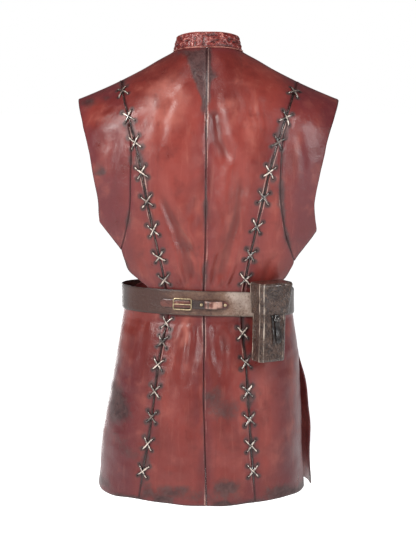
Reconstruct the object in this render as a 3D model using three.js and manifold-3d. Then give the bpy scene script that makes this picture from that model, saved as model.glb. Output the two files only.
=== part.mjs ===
// Long sleeveless leather vest of historic costume, with its own belt and belt pouch, shaped as it hangs when worn.
// Millimetres, +Z up, the wearer faces -Y and their left is +X. The origin is the middle of the neck opening, level
// with the points where the neck meets the shoulder seams.
//
// The cloth follows one body surface: level sections give its half width and depths, and a rounded ridge along the
// shoulders joins back to front. Every panel is a wall on that surface between its own seams, and what lies on a
// panel is the same surface moved out.
import * as THREE from "three";
import { mergeVertices } from "three/addons/utils/BufferGeometryUtils.js";
import Module from "manifold-3d";

const wasm = await Module();
wasm.setup();

// ---------------------------------------------------------------- sizes
const LEATHER = 2.4; // wall of every garment panel
const SEAM_GAP = 0.5; // between two panels that are sewn together
const LACED_GAP = 3.0; // between two panels that are laced together
const SEAT = 0.45; // from a panel to what lies on it
const SHOULDER_ROUND = 80; // radius that the cloth turns over the shoulder with
const HEM_Z = -806;
const VENT_TOP_Z = -545; // the right side seam is open below this
const NECK_HALF = 62; // half width of the neck opening
const NECK_BACK_RISE = 8; // the back neck lies this far above the neck points
const NECK_FRONT_DROP = 60;
const FRONT_LAP = 15; // each front reaches this far past the middle
const BELT = { z: -451, tilt: 0.034, backRise: 5.25, width: 45, thick: 3 };

// Level sections of the body surface, from the neck down. half: half width. back, front: depths. boxy: 0 is an ellipse.
const SECTIONS = [
  { z: 60, half: 258, back: 60, front: 56, boxy: 0.45 },
  { z: 10, half: 258, back: 78, front: 68, boxy: 0.45 },
  { z: -50, half: 258, back: 96, front: 80, boxy: 0.45 },
  { z: -110, half: 257, back: 108, front: 100, boxy: 0.45 },
  { z: -180, half: 254, back: 118, front: 118, boxy: 0.45 },
  { z: -250, half: 246, back: 121, front: 124, boxy: 0.42 },
  { z: -315, half: 228, back: 119, front: 121, boxy: 0.36 },
  { z: -365, half: 202, back: 114, front: 116, boxy: 0.28 },
  { z: -397, half: 177, back: 109.5, front: 111.5, boxy: 0.2 },
  { z: -411, half: 163, back: 107, front: 109, boxy: 0.17 },
  { z: -420, half: 157.5, back: 105.6, front: 107.6, boxy: 0.15 },
  { z: -446, half: 156, back: 105, front: 107, boxy: 0.15 },
  { z: -480, half: 157, back: 106, front: 107.5, boxy: 0.15 },
  { z: -490, half: 158.8, back: 108.5, front: 108.6, boxy: 0.15 },
  { z: -510, half: 162, back: 113.5, front: 111.2, boxy: 0.18 },
  { z: -560, half: 169, back: 122, front: 116, boxy: 0.2 },
  { z: -620, half: 179, back: 130, front: 121, boxy: 0.2 },
  { z: -684, half: 190, back: 136, front: 125, boxy: 0.2 },
  { z: -750, half: 197, back: 140, front: 128, boxy: 0.2 },
  { z: -830, half: 204, back: 143, front: 130, boxy: 0.2 },
];

// Height of the shoulder seam at each distance from the middle. Under the neck it is only a guide.
const SHOULDER = [
  { x: 0, z: 34 },
  { x: 16, z: 31 },
  { x: 31, z: 25 },
  { x: 45, z: 16.5 },
  { x: 56, z: 6.5 },
  { x: 62, z: 0 },
  { x: 90, z: -15.5 },
  { x: 120, z: -33 },
  { x: 166, z: -56 },
  { x: 196, z: -69.5 },
  { x: 236, z: -86 },
  { x: 262, z: -96 },
];

// Seams and edges of the back: distance from the middle at each height, on the wearer's left and right.
const CENTRE_SEAM = [
  { z: 20, x: 2 },
  { z: -120, x: 3 },
  { z: -260, x: 4 },
  { z: -350, x: 5 },
  { z: -422, x: 8 },
  { z: -511, x: 7 },
  { z: -618, x: 8 },
  { z: -690, x: 6 },
  { z: -830, x: 2 },
];
const LACED_SEAM = [
  { z: -40, left: 157, right: 163 },
  { z: -57, left: 155, right: 160 },
  { z: -75, left: 151, right: 152 },
  { z: -113, left: 140, right: 138 },
  { z: -158, left: 128, right: 123 },
  { z: -210, left: 117, right: 108 },
  { z: -260, left: 108, right: 97 },
  { z: -313, left: 97, right: 85 },
  { z: -360, left: 87, right: 75 },
  { z: -410, left: 77, right: 66 },
  { z: -446, left: 72, right: 62 },
  { z: -476, left: 73, right: 61 },
  { z: -510, left: 80, right: 63 },
  { z: -557, left: 89, right: 68 },
  { z: -604, left: 95, right: 71 },
  { z: -651, left: 101, right: 74 },
  { z: -700, left: 108, right: 77 },
  { z: -750, left: 117, right: 81 },
  { z: -830, left: 129, right: 87 },
];
const WING_TOP_Z = -124; // the wing seam leaves the laced seam here
const WING_SEAM = [
  { z: -124, left: 141, right: 139 },
  { z: -154, left: 136, right: 132 },
  { z: -190, left: 135.5, right: 129 },
  { z: -224, left: 137, right: 128 },
  { z: -255, left: 137.5, right: 128.5 },
  { z: -285, left: 140, right: 132 },
  { z: -325, left: 148.5, right: 139 },
  { z: -352, left: 156, right: 148 },
  { z: -374, left: 158, right: 156 },
];
const WING_FOOT = { left: { x: 156, z: -352 }, right: { x: 156, z: -374 } }; // where the wing seam meets the armhole
const WING_CORNER = { left: { x: 195, z: -302 }, right: { x: 196, z: -318 } }; // lowest outer corner of the wing
const WING_EDGE = [
  { part: 0, left: { x: 236, z: -86 }, right: { x: 238, z: -87 } },
  { part: 0.14, left: { x: 229, z: -115 }, right: { x: 228, z: -116 } },
  { part: 0.38, left: { x: 215, z: -168 }, right: { x: 212, z: -163 } },
  { part: 0.6, left: { x: 205, z: -217 }, right: { x: 201, z: -212 } },
  { part: 0.82, left: { x: 198, z: -262 }, right: { x: 191, z: -268 } },
  { part: 1, left: { x: 195, z: -302 }, right: { x: 196, z: -318 } },
];
// Outer edge of the side-back panels: armhole, then out to the side seam under the belt, then the vent.
const SIDE_EDGE = [
  { z: -352, left: 156, right: 148 },
  { z: -374, left: 150, right: 156 },
  { z: -392, left: 143, right: 148 },
  { z: -410, left: 122, right: 136 },
  { z: -420, left: 110, right: 118 },
  { z: -428, left: 117, right: 119 },
  { z: -437, left: 140, right: 140 },
  { z: -446, left: 154, right: 154 },
  { z: -456, left: 155.9, right: 155.9 },
];
// Parts of the skirt hang wider or narrower than the sections. The right back does most, so its vent stands open.
const HANG = [
  { side: 1, face: 1, from: -520, to: -760, wider: 0.02 },
  { side: 1, face: -1, from: -520, to: -760, wider: 0.02 },
  { side: -1, face: 1, from: -530, to: -760, wider: -0.1 },
  { side: -1, face: -1, from: -545, to: -610, wider: 0.03 },
  { side: -1, face: -1, from: -610, to: -800, wider: -0.065 },
];
const RIGHT_EDGE = 1.43; // the right back's free edge ends at this angle round the body
// Outer edge of the fronts: shoulder tip, armhole, side seam under the belt, vent.
const FRONT_EDGE = [
  { z: -86, x: 236 },
  { z: -118, x: 222 },
  { z: -165, x: 205 },
  { z: -220, x: 190 },
  { z: -275, x: 180 },
  { z: -325, x: 168 },
  { z: -368, x: 150 },
  { z: -400, x: 130 },
  { z: -420, x: 114 },
  { z: -430, x: 120 },
  { z: -440, x: 144 },
  { z: -447, x: 153 },
  { z: -456, x: 155.9 },
];

// Soft forms of the back: bulges stand out, troughs run along a line of points and sink.
const BULGES = [
  { x: 84, z: -165, wide: 52, tall: 76, out: 5 }, // shoulder blade, left
  { x: -84, z: -165, wide: 52, tall: 76, out: 5 }, // and right
  { x: 3, z: -230, wide: 22, tall: 150, out: -4 }, // spine
  { x: 52, z: -660, wide: 30, tall: 130, out: 4 }, // skirt flutes
  { x: -34, z: -690, wide: 24, tall: 110, out: 4 },
  { x: 12, z: -740, wide: 16, tall: 80, out: -4 },
  { x: 156, z: -700, wide: 30, tall: 120, out: 2.5 },
  { x: -132, z: -680, wide: 32, tall: 110, out: 3 },
];
const TROUGHS = [
  { deep: 6, wide: 11, line: [[23, -421], [40, -350], [58, -305], [80, -262], [92, -215]] },
  { deep: 6, wide: 11, line: [[-16, -418], [-34, -350], [-50, -300], [-56, -239], [-60, -175]] },
  { deep: 5, wide: 12, line: [[-9, -100], [-18, -150], [-42, -202]] },
  { deep: 3, wide: 12, line: [[34, -474], [44, -520], [46, -590]] },
  { deep: 3, wide: 12, line: [[-22, -474], [-30, -520], [-26, -580]] },
];

const COLOURS = {
  redLeather: { color: 0x8a4640, roughness: 0.5, metalness: 0 },
  darkThong: { color: 0x3a2a26, roughness: 0.45, metalness: 0 },
  beltLeather: { color: 0x66524a, roughness: 0.5, metalness: 0 },
  strapLeather: { color: 0x7c3524, roughness: 0.45, metalness: 0 },
  brass: { color: 0xc9a25a, roughness: 0.3, metalness: 1 },
  pouchLeather: { color: 0x52443b, roughness: 0.5, metalness: 0 },
};

// ---------------------------------------------------------------- curves
// Smooth value of column key at position `at` in rows sorted by column `along`.
function smooth(rows, along, key, at) {
  const up = rows[0][along] < rows[rows.length - 1][along];
  const row = (i) => (up ? rows[i] : rows[rows.length - 1 - i]);
  const last = rows.length - 1;
  const x = Math.min(Math.max(at, row(0)[along]), row(last)[along]);
  let i = 0;
  while (i < last - 1 && x > row(i + 1)[along]) i++;
  const slope = (k) => {
    const a = row(Math.max(k - 1, 0));
    const b = row(Math.min(k + 1, last));
    return (b[key] - a[key]) / (b[along] - a[along]);
  };
  const h = row(i + 1)[along] - row(i)[along];
  const s = (x - row(i)[along]) / h;
  return (
    (2 * s ** 3 - 3 * s ** 2 + 1) * row(i)[key] +
    (s ** 3 - 2 * s ** 2 + s) * h * slope(i) +
    (3 * s ** 2 - 2 * s ** 3) * row(i + 1)[key] +
    (s ** 3 - s ** 2) * h * slope(i + 1)
  );
}
const ease = (from, to, at) => {
  const t = Math.min(Math.max((at - from) / (to - from), 0), 1);
  return t * t * (3 - 2 * t);
};
const section = (key, z) => smooth(SECTIONS, "z", key, z);
// Half width on one side of the front or back. side is 1 for the wearer's left.
const halfWidth = (face, side, z) => {
  const rows = HANG.filter((row) => row.side === side && row.face === face);
  return section("half", z) * rows.reduce((share, row) => share + row.wider * ease(row.from, row.to, z), 1);
};
const shoulderZ = (x) => smooth(SHOULDER, "x", "z", Math.abs(x));
const mix = (a, b, t) => a + (b - a) * t;

// ---------------------------------------------------------------- body surface
// A place on the surface is { face, angle, fall }: face 1 is the back and -1 the front, angle runs round the body from
// the middle, and fall turns over the shoulder ridge up to a quarter turn and then goes straight down.
const dropOf = (fall) =>
  fall < Math.PI / 2 ? SHOULDER_ROUND * (1 - Math.cos(fall)) : SHOULDER_ROUND * (1 + fall - Math.PI / 2);
const fallOf = (drop) =>
  drop < SHOULDER_ROUND
    ? Math.acos(1 - Math.max(drop, 0) / SHOULDER_ROUND)
    : Math.PI / 2 + drop / SHOULDER_ROUND - 1;

function bare({ face, angle, fall }) {
  const drop = dropOf(fall);
  let x = 0;
  let z = -drop;
  for (let i = 0; i < 12; i++) {
    x = halfWidth(face, Math.sign(angle), z) * Math.sin(angle);
    z = shoulderZ(x) - drop;
  }
  const s = Math.sin(angle);
  const over = fall < Math.PI / 2 ? Math.sin(fall) : 1;
  const depth = section(face > 0 ? "back" : "front", z) * Math.cos(angle) * (1 + section("boxy", z) * s * s) * over;
  return new THREE.Vector3(x, face * (depth + SEAM_GAP / 2), z);
}

function place(face, x, z) {
  const s = Math.min(Math.max(x / halfWidth(face, Math.sign(x), z), -1), 1);
  return { face, angle: Math.asin(s), fall: fallOf(shoulderZ(x) - z) };
}

function outward(at) {
  const step = 1e-3;
  const round = bare({ ...at, angle: at.angle + step }).sub(bare({ ...at, angle: at.angle - step }));
  const down = bare({ ...at, fall: at.fall + step }).sub(bare({ ...at, fall: at.fall - step }));
  return round.cross(down).multiplyScalar(at.face).normalize();
}

function distanceToLine(line, x, z) {
  let best = Infinity;
  let along = 0;
  for (let i = 0; i < line.length - 1; i++) {
    const [ax, az] = line[i];
    const dx = line[i + 1][0] - ax;
    const dz = line[i + 1][1] - az;
    const t = Math.min(Math.max(((x - ax) * dx + (z - az) * dz) / (dx * dx + dz * dz), 0), 1);
    const d = Math.hypot(x - ax - t * dx, z - az - t * dz);
    if (d < best) {
      best = d;
      along = (i + t) / (line.length - 1);
    }
  }
  return { distance: best, along };
}

// How far the soft forms push the back out, in millimetres. They fade under the belt and on the front.
function softForm(face, x, z) {
  if (face < 0) return 0;
  let out = 0;
  const calm = ease(12, 34, Math.abs(Math.abs(x) - smooth(LACED_SEAM, "z", x > 0 ? "left" : "right", z)));
  for (const b of BULGES) out += b.out * Math.exp(-(((x - b.x) / b.wide) ** 2) - ((z - b.z) / b.tall) ** 2);
  for (const t of TROUGHS) {
    const { distance, along } = distanceToLine(t.line, x, z);
    const q = distance / t.wide;
    const fade = ease(1.04, 0.7, along) * ease(-0.02, 0.1, along) * calm;
    out -= t.deep * fade * (Math.exp(-q * q) - 0.4 * Math.exp(-((q - 2) ** 2)));
  }
  return out * ease(BELT.width / 2 + 7, BELT.width / 2 + 42, Math.abs(z - BELT.z));
}

// The left front lies over the right one, so it stands out by a wall near the middle.
function lapRise(face, x) {
  return face < 0 ? (LEATHER + SEAT) * ease(62, 24, x) * (x > -FRONT_LAP - 2 ? 1 : 0) : 0;
}

// The point `high` millimetres above the outer face of the cloth.
function on(face, x, z, high = 0) {
  const at = place(face, x, z);
  return bare(at).addScaledVector(outward(at), high + softForm(face, x, z));
}

// ---------------------------------------------------------------- solids
// Geometry of one closed surface, turned so that its faces point out.
function closed(points, faces) {
  let volume = 0;
  for (const [a, b, c] of faces) volume += points[a].dot(points[b].clone().cross(points[c]));
  const index = faces.flatMap(([a, b, c]) => (volume > 0 ? [a, b, c] : [a, c, b]));
  const geometry = new THREE.BufferGeometry();
  geometry.setFromPoints(points);
  geometry.setIndex(index);
  return geometry;
}

// A wall with an outer and an inner layer of rows x columns points. at(row, column, layer) gives a point.
function wall(rows, columns, at) {
  const points = [];
  const faces = [];
  const id = (layer, i, j) => (layer * rows + i) * columns + j;
  for (const layer of [0, 1])
    for (let i = 0; i < rows; i++) for (let j = 0; j < columns; j++) points.push(at(i, j, layer));
  const quad = (a, b, c, d) => faces.push([a, b, c], [a, c, d]);
  for (let i = 0; i < rows - 1; i++)
    for (let j = 0; j < columns - 1; j++) {
      quad(id(0, i, j), id(0, i, j + 1), id(0, i + 1, j + 1), id(0, i + 1, j));
      quad(id(1, i, j), id(1, i + 1, j), id(1, i + 1, j + 1), id(1, i, j + 1));
    }
  for (let i = 0; i < rows - 1; i++)
    for (const j of [0, columns - 1]) {
      const rim = [id(0, i, j), id(0, i + 1, j), id(1, i + 1, j), id(1, i, j)];
      quad(...(j ? rim.reverse() : rim));
    }
  for (let j = 0; j < columns - 1; j++)
    for (const i of [0, rows - 1]) {
      const rim = [id(0, i, j), id(1, i, j), id(1, i, j + 1), id(0, i, j + 1)];
      quad(...(i ? rim.reverse() : rim));
    }
  return closed(points, faces);
}

// A closed tube: each ring holds the same number of points, and both ends are capped.
function tube(rings) {
  const n = rings[0].length;
  const faces = [];
  for (let i = 0; i < rings.length - 1; i++)
    for (let j = 0; j < n; j++) {
      const k = (j + 1) % n;
      faces.push([i * n + j, (i + 1) * n + j, (i + 1) * n + k], [i * n + j, (i + 1) * n + k, i * n + k]);
    }
  const end = (rings.length - 1) * n;
  for (let j = 1; j < n - 1; j++) faces.push([0, j, j + 1], [end, end + j + 1, end + j]);
  return closed(rings.flat(), faces);
}

function solidOf(geometry) {
  const bareGeometry = new THREE.BufferGeometry();
  bareGeometry.setAttribute("position", geometry.getAttribute("position"));
  bareGeometry.setIndex(geometry.getIndex());
  const merged = mergeVertices(bareGeometry, 1e-3);
  const mesh = new wasm.Mesh({
    numProp: 3,
    vertProperties: new Float32Array(merged.attributes.position.array),
    triVerts: new Uint32Array(merged.index.array),
  });
  return new wasm.Manifold(mesh);
}

function geometryOf(solid) {
  const { vertProperties, triVerts } = solid.getMesh();
  const geometry = new THREE.BufferGeometry();
  geometry.setAttribute("position", new THREE.BufferAttribute(new Float32Array(vertProperties), 3));
  geometry.setIndex(new THREE.BufferAttribute(new Uint32Array(triVerts), 1));
  return geometry;
}

const united = (geometries) => geometryOf(geometries.map(solidOf).reduce((a, b) => a.add(b)));
const cutBy = (geometry, ...tools) => geometryOf(tools.map(solidOf).reduce((a, b) => a.subtract(b), solidOf(geometry)));

const vest = new THREE.Group();
function add(name, geometry, colour) {
  geometry.computeVertexNormals();
  const mesh = new THREE.Mesh(geometry, new THREE.MeshStandardMaterial(COLOURS[colour]));
  mesh.name = name;
  vest.add(mesh);
}

// ---------------------------------------------------------------- panels
const neckZ = (face, x) => {
  const across = Math.min(Math.abs(x) / NECK_HALF, 1);
  return face > 0 ? NECK_BACK_RISE * (1 - across ** 3) : -NECK_FRONT_DROP * (1 - across ** 2.2);
};
const topZ = (face, x) => (Math.abs(x) < NECK_HALF ? neckZ(face, x) : shoulderZ(x));
const lacedX = (side, z) => smooth(LACED_SEAM, "z", side > 0 ? "left" : "right", z);
const wingX = (side, z) => smooth(WING_SEAM, "z", side > 0 ? "left" : "right", z);
const centreX = (z) => smooth(CENTRE_SEAM, "z", "x", z);
const sideName = (side) => (side > 0 ? "left" : "right");
const hemDip = (x) => -5 + 8 * ease(0, 150, Math.abs(x)) - 3 * ease(140, 205, Math.abs(x));

// A panel in rows that start along its top edge and are level from `meet` down, between the seams near(z) and far(z).
// top lists the x of each column on the top edge.
function panel(face, side, { levels, top, topAt, meet, near, far, lift = () => 0 }) {
  const angleAt = (x, z) => Math.asin(Math.min(x / halfWidth(face, side, z), 1));
  const grid = levels.map((level, i) =>
    top.map((topX, j) => {
      const share = j / (top.length - 1);
      const topHeight = topAt(topX);
      const keep = Math.max((level - meet) / (levels[0] - meet), 0);
      const z = level + keep * (topHeight - levels[0]);
      const topShare =
        (angleAt(topX, topHeight) - angleAt(near(topHeight), topHeight)) /
        (angleAt(far(topHeight), topHeight) - angleAt(near(topHeight), topHeight));
      const angle = mix(angleAt(near(z), z), angleAt(far(z), z), mix(share, topShare, keep));
      const x = halfWidth(face, side, z) * Math.sin(angle);
      return { x, z: i === levels.length - 1 ? z + hemDip(x) : z };
    }),
  );
  return wall(levels.length, top.length, (i, j, layer) => {
    const { x, z } = grid[i][j];
    return on(face, side * x, z, lift(x) - (layer ? LEATHER : 0));
  });
}

// The height where the laced seam meets the shoulder ridge.
function lacedTop(side) {
  let z = -60;
  for (let i = 0; i < 20; i++) z = shoulderZ(lacedX(side, z));
  return z;
}

const NECK_COLUMNS = { back: [16, 31, 45, 56, 62], front: [0, 14, 27, 39, 49, 56.5, 62] };
const BACK_LEVELS = [
  -56, -64, -76, -92, -112, -136, -162, -190, -220, -250, -280, -310, -340, -366, -388, -404, -412, -419, -427, -446,
  -466, -480, -487, -497, -515, -545, -580, -620, -660, -702, -750, HEM_Z,
];
const FRONT_LEVELS = [
  -86, -94, -106, -124, -148, -178, -212, -248, -284, -318, -348, -373, -393, -405, -413, -420, -427, -434, -441,
  -449, -459, -470, -480, -487, -497, -515, -545, -585, -630, -680, -740, HEM_Z,
];

function centreBack(side) {
  const near = (z) => side * centreX(z) + SEAM_GAP / 2;
  const far = (z) => lacedX(side, z) - LACED_GAP / 2;
  const last = far(lacedTop(side));
  return panel(1, side, {
    levels: BACK_LEVELS,
    top: [near(NECK_BACK_RISE), ...NECK_COLUMNS.back, mix(62, last, 0.33), mix(62, last, 0.67), last],
    topAt: (x) => topZ(1, x),
    meet: -380,
    near,
    far,
  });
}

// The fronts' outer edge hangs from the tip to the side seam and then along the vent.
function front(side) {
  const far = (z) => (z > -456 ? smooth(FRONT_EDGE, "z", "x", z) : halfWidth(-1, side, z) - 0.02);
  return panel(-1, side, {
    levels: FRONT_LEVELS,
    top: [-FRONT_LAP, ...NECK_COLUMNS.front, 94, 128, 164, 200, 236],
    topAt: (x) => topZ(-1, x),
    meet: -380,
    near: () => -FRONT_LAP,
    far,
    lift: (x) => (side > 0 ? lapRise(-1, x) : 0),
  });
}

// The side-back panel starts as a point between the two seams and widens into the skirt.
function sideBack(side) {
  const key = sideName(side);
  const near = (z) => lacedX(side, z) + LACED_GAP / 2;
  const far = (z) => {
    if (z > WING_FOOT[key].z) return wingX(side, z) - SEAM_GAP / 2;
    if (z > -456) return smooth(SIDE_EDGE, "z", key, z) - SEAM_GAP / 2;
    const open = side < 0 ? ease(VENT_TOP_Z, -680, z) : 0;
    return halfWidth(1, side, z) * Math.sin(mix(Math.PI / 2, RIGHT_EDGE, open));
  };
  let start = WING_TOP_Z;
  while (far(start) - near(start) < 4) start -= 1;
  const levels = [];
  for (let i = 0; i < 11; i++) levels.push(mix(start, -392, i / 11));
  levels.push(-392, -404, -412, -419, -426, -432, -439, -446, -453, -462, -480, -487, -497, -515);
  for (let i = 1; i <= 8; i++) levels.push(mix(-515, HEM_Z, i / 8));
  const top = [0, 1, 2, 3, 4, 5, 6].map((j) => mix(near(start), far(start), j / 6));
  return panel(1, side, { levels, top, topAt: () => start, meet: start - 1, near, far });
}

// The wing runs down to a slanted foot: a patch blended between its four edges.
function wing(side) {
  const key = sideName(side);
  const foot = WING_FOOT[key];
  const corner = WING_CORNER[key];
  const near = (z) => {
    const onLacing = lacedX(side, z) + LACED_GAP / 2;
    return z > WING_TOP_Z ? onLacing : Math.max(wingX(side, z) + SEAM_GAP / 2, onLacing);
  };
  const edge = WING_EDGE.map((r) => ({ part: r.part, x: r[key].x, z: r[key].z }));
  const [rows, columns] = [17, 6];
  const start = near(lacedTop(side));
  const top = (u) => {
    const x = mix(start, edge[0].x, u);
    return { x, z: shoulderZ(x) };
  };
  const inner = (v) => {
    const z = mix(shoulderZ(start), foot.z, v);
    return { x: near(z), z };
  };
  const outer = (v) => ({ x: smooth(edge, "part", "x", v), z: smooth(edge, "part", "z", v) });
  const last = (u) => ({ x: mix(near(foot.z), corner.x, u), z: mix(foot.z, corner.z, u) });
  return wall(rows, columns, (i, j, layer) => {
    const v = (i / (rows - 1)) ** 1.3;
    const u = j / (columns - 1);
    const blend = (k) =>
      mix(top(u)[k], last(u)[k], v) +
      mix(inner(v)[k], outer(v)[k], u) -
      mix(mix(top(0)[k], top(1)[k], u), mix(last(0)[k], last(1)[k], u), v);
    return on(1, side * blend("x"), blend("z"), layer ? -LEATHER : 0);
  });
}

for (const side of [1, -1]) {
  add("back_" + sideName(side), centreBack(side), "redLeather");
  add("wing_" + sideName(side), wing(side), "redLeather");
  add("side_back_" + sideName(side), sideBack(side), "redLeather");
  add("front_" + sideName(side), front(side), "redLeather");
}

// ---------------------------------------------------------------- stand collar
// One strip standing on the neck edge, open at the front, leaning in towards the neck.
const COLLAR = { height: 27, thick: 3, lean: 0.24, gap: 0.9 };
{
  // The neck edge, from the left front round the back to the right front.
  const edge = [];
  const visit = (face, xs) =>
    xs.forEach((x) => edge.push(on(face, x, neckZ(face, x), x > 0 ? lapRise(face, x) : 0)));
  const { back, front: fore } = NECK_COLUMNS;
  visit(-1, fore.slice(1, -1));
  visit(1, [...back].reverse());
  visit(1, [centreX(0)]);
  visit(1, back.map((x) => -x));
  visit(-1, [...fore.slice(1, -1)].reverse().map((x) => -x));
  const seat = edge.flatMap((point, i) =>
    i === edge.length - 1 ? [point] : [point, point.clone().lerp(edge[i + 1], 0.5)],
  );
  const levels = 4;
  const collar = wall(seat.length, levels, (i, j, layer) => {
    const foot = seat[i];
    const away = new THREE.Vector3(foot.x, foot.y, 0).normalize();
    const up = j / (levels - 1);
    const inward = COLLAR.lean * COLLAR.height * up ** 1.4 + (layer ? COLLAR.thick : 0);
    return foot
      .clone()
      .addScaledVector(away, -inward)
      .add(new THREE.Vector3(0, 0, COLLAR.gap + COLLAR.height * up));
  });
  add("collar", collar, "redLeather");
}

// ---------------------------------------------------------------- lacing
// A thong runs in each laced seam and comes out at every cross as two bars, the second over the first.
const THONG = { wide: 4.2, thick: 1.7, across: 9.8, along: 11.2, run: 2, seat: 0.65 };
const CROSSES = {
  upper: {
    left: [-71, -113, -158, -210, -261, -313, -361, -404],
    right: [-72, -115, -158, -209, -255, -307, -358, -403],
  },
  skirt: {
    left: [-483, -516, -557, -604, -651, -700, -750],
    right: [-500, -552, -604, -654, -702, -748],
  },
};

// The surface place reached from (x, z) by going `out` sideways and `up` along the laced seam, in millimetres.
function step(side, z, out, up) {
  const start = place(1, side * lacedX(side, z), z);
  const origin = bare(start);
  const normal = outward(start);
  const ahead = place(1, side * lacedX(side, z + 4), z + 4);
  const along = bare(ahead).sub(origin).projectOnPlane(normal).normalize();
  const across = along.clone().cross(normal).multiplyScalar(-side);
  const goal = origin.clone().addScaledVector(across, side * out).addScaledVector(along, up);
  const at = { ...start };
  for (let i = 0; i < 8; i++) {
    const here = bare(at);
    const e = 1e-3;
    const ta = bare({ ...at, angle: at.angle + e }).sub(here).divideScalar(e);
    const tf = bare({ ...at, fall: at.fall + e }).sub(here).divideScalar(e);
    const miss = goal.clone().sub(here).projectOnPlane(normal);
    const [aa, ff, af] = [ta.dot(ta), tf.dot(tf), ta.dot(tf)];
    const [am, fm] = [ta.dot(miss), tf.dot(miss)];
    const det = aa * ff - af * af;
    at.angle += (am * ff - fm * af) / det;
    at.fall += (fm * aa - am * af) / det;
  }
  return at;
}

function above(at, high) {
  const foot = bare(at);
  return foot.clone().addScaledVector(outward(at), high + softForm(1, foot.x, foot.z));
}

// One bar of a cross. lean is 1 or -1, and hump lifts its middle over the other bar.
function crossBar(side, z, lean, hump) {
  const rings = [];
  const long = Math.hypot(THONG.across, THONG.along);
  const [px, pz] = [(-lean * THONG.along) / long, THONG.across / long];
  for (const part of [-1, 0, 1]) {
    const middle = [lean * part * THONG.across, part * THONG.along];
    const low = THONG.seat + hump * (1 - Math.abs(part));
    const [a, b] = [-0.5, 0.5].map((k) =>
      step(side, z, middle[0] + k * THONG.wide * px, middle[1] + k * THONG.wide * pz));
    rings.push([above(a, low), above(b, low), above(b, low + THONG.thick), above(a, low + THONG.thick)]);
  }
  return tube(rings);
}

// The thong lies sunk in the seam between crosses and rises to meet each of them.
function sunkRun(side, heights) {
  const stops = heights.flatMap((z, i) => {
    const stop = [{ z, high: THONG.seat + 0.6 }];
    if (i === heights.length - 1) return stop;
    const gap = heights[i + 1] - z;
    const count = Math.max(2, Math.round(-gap / 17));
    for (let k = 0; k < count; k++) stop.push({ z: z + gap * mix(0.22, 0.78, k / (count - 1)), high: -0.35 });
    return stop;
  });
  const rings = stops.map(({ z, high }) => {
    const [a, b] = [-0.5, 0.5].map((k) => step(side, z, k * THONG.run, 0));
    return [above(a, high - 1.6), above(b, high - 1.6), above(b, high), above(a, high)];
  });
  return tube(rings);
}

for (const [stretch, sides] of Object.entries(CROSSES))
  for (const side of [1, -1]) {
    const heights = sides[sideName(side)];
    const pieces = heights.flatMap((z, i) => [
      crossBar(side, z, side * (i % 3 ? 1 : -1), 0),
      crossBar(side, z, side * (i % 3 ? -1 : 1), THONG.thick * 0.75),
    ]);
    pieces.push(sunkRun(side, heights));
    add("lacing_" + stretch + "_" + sideName(side), united(pieces), "darkThong");
  }

// ---------------------------------------------------------------- belt
// One strap, wound once round the waist. Its outer end lies over its start on the left of the back.
// Across the back: the belt's outer end, its inner end, and where the lap lies flat again.
const OVERLAP = { tip: 88, under: 22, settle: -34 };
const POUCH = { x: -97, turn: 28, width: 51, depth: 35, top: -406, foot: -543, wall: 2, loopHalf: 16, loop: 2 };
const WAIST_HALF = section("half", -446);

// Height of the belt's middle line. turn is the angle round the body from the middle of the back.
const beltZ = (turn) => BELT.z + BELT.tilt * WAIST_HALF * Math.sin(turn) + BELT.backRise * Math.cos(turn);
const turnAt = (x) => Math.asin(x / WAIST_HALF);
// Height of the belt's inner face above the cloth.
function beltSeat(face, x, outerEnd) {
  let high = SEAT + 0.15;
  if (outerEnd) high += (BELT.thick + SEAT) * ease(OVERLAP.settle, OVERLAP.under - 6, x);
  if (face > 0) high += (POUCH.loop + 0.7) * ease(POUCH.loopHalf + 22, POUCH.loopHalf + 3, Math.abs(x - POUCH.x));
  if (face < 0) high += x > 0 ? lapRise(-1, x) : (LEATHER + SEAT) * ease(-62, -FRONT_LAP - 4, x);
  return high;
}
// A point above the cloth on the belt's path: off from its middle line.
function roundWaist(turn, off, high) {
  const face = Math.cos(turn) >= 0 ? 1 : -1;
  const z = beltZ(turn) + off;
  return on(face, section("half", z) * Math.sin(turn), z, high);
}
// A point on the belt: off from its middle line, high above its inner face.
function onBelt(turn, off, high, outerEnd = false) {
  const face = Math.cos(turn) >= 0 ? 1 : -1;
  return roundWaist(turn, off, high + beltSeat(face, WAIST_HALF * Math.sin(turn), outerEnd));
}
{
  const start = turnAt(OVERLAP.tip);
  const end = turnAt(OVERLAP.under) - 2 * Math.PI;
  const stations = 76;
  const belt = wall(stations, 3, (i, j, layer) => {
    const turn = mix(start, end, i / (stations - 1));
    return onBelt(turn, (j - 1) * (BELT.width / 2), layer ? 0 : BELT.thick, turn > -1);
  });
  add("belt", belt, "beltLeather");
}

// ---------------------------------------------------------------- buckle strap on the belt
const STRAP = { from: 83, to: -36, width: 15.5, thick: 2, off: -1.8 };
const strapTop = BELT.thick + SEAT + STRAP.thick;
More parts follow.
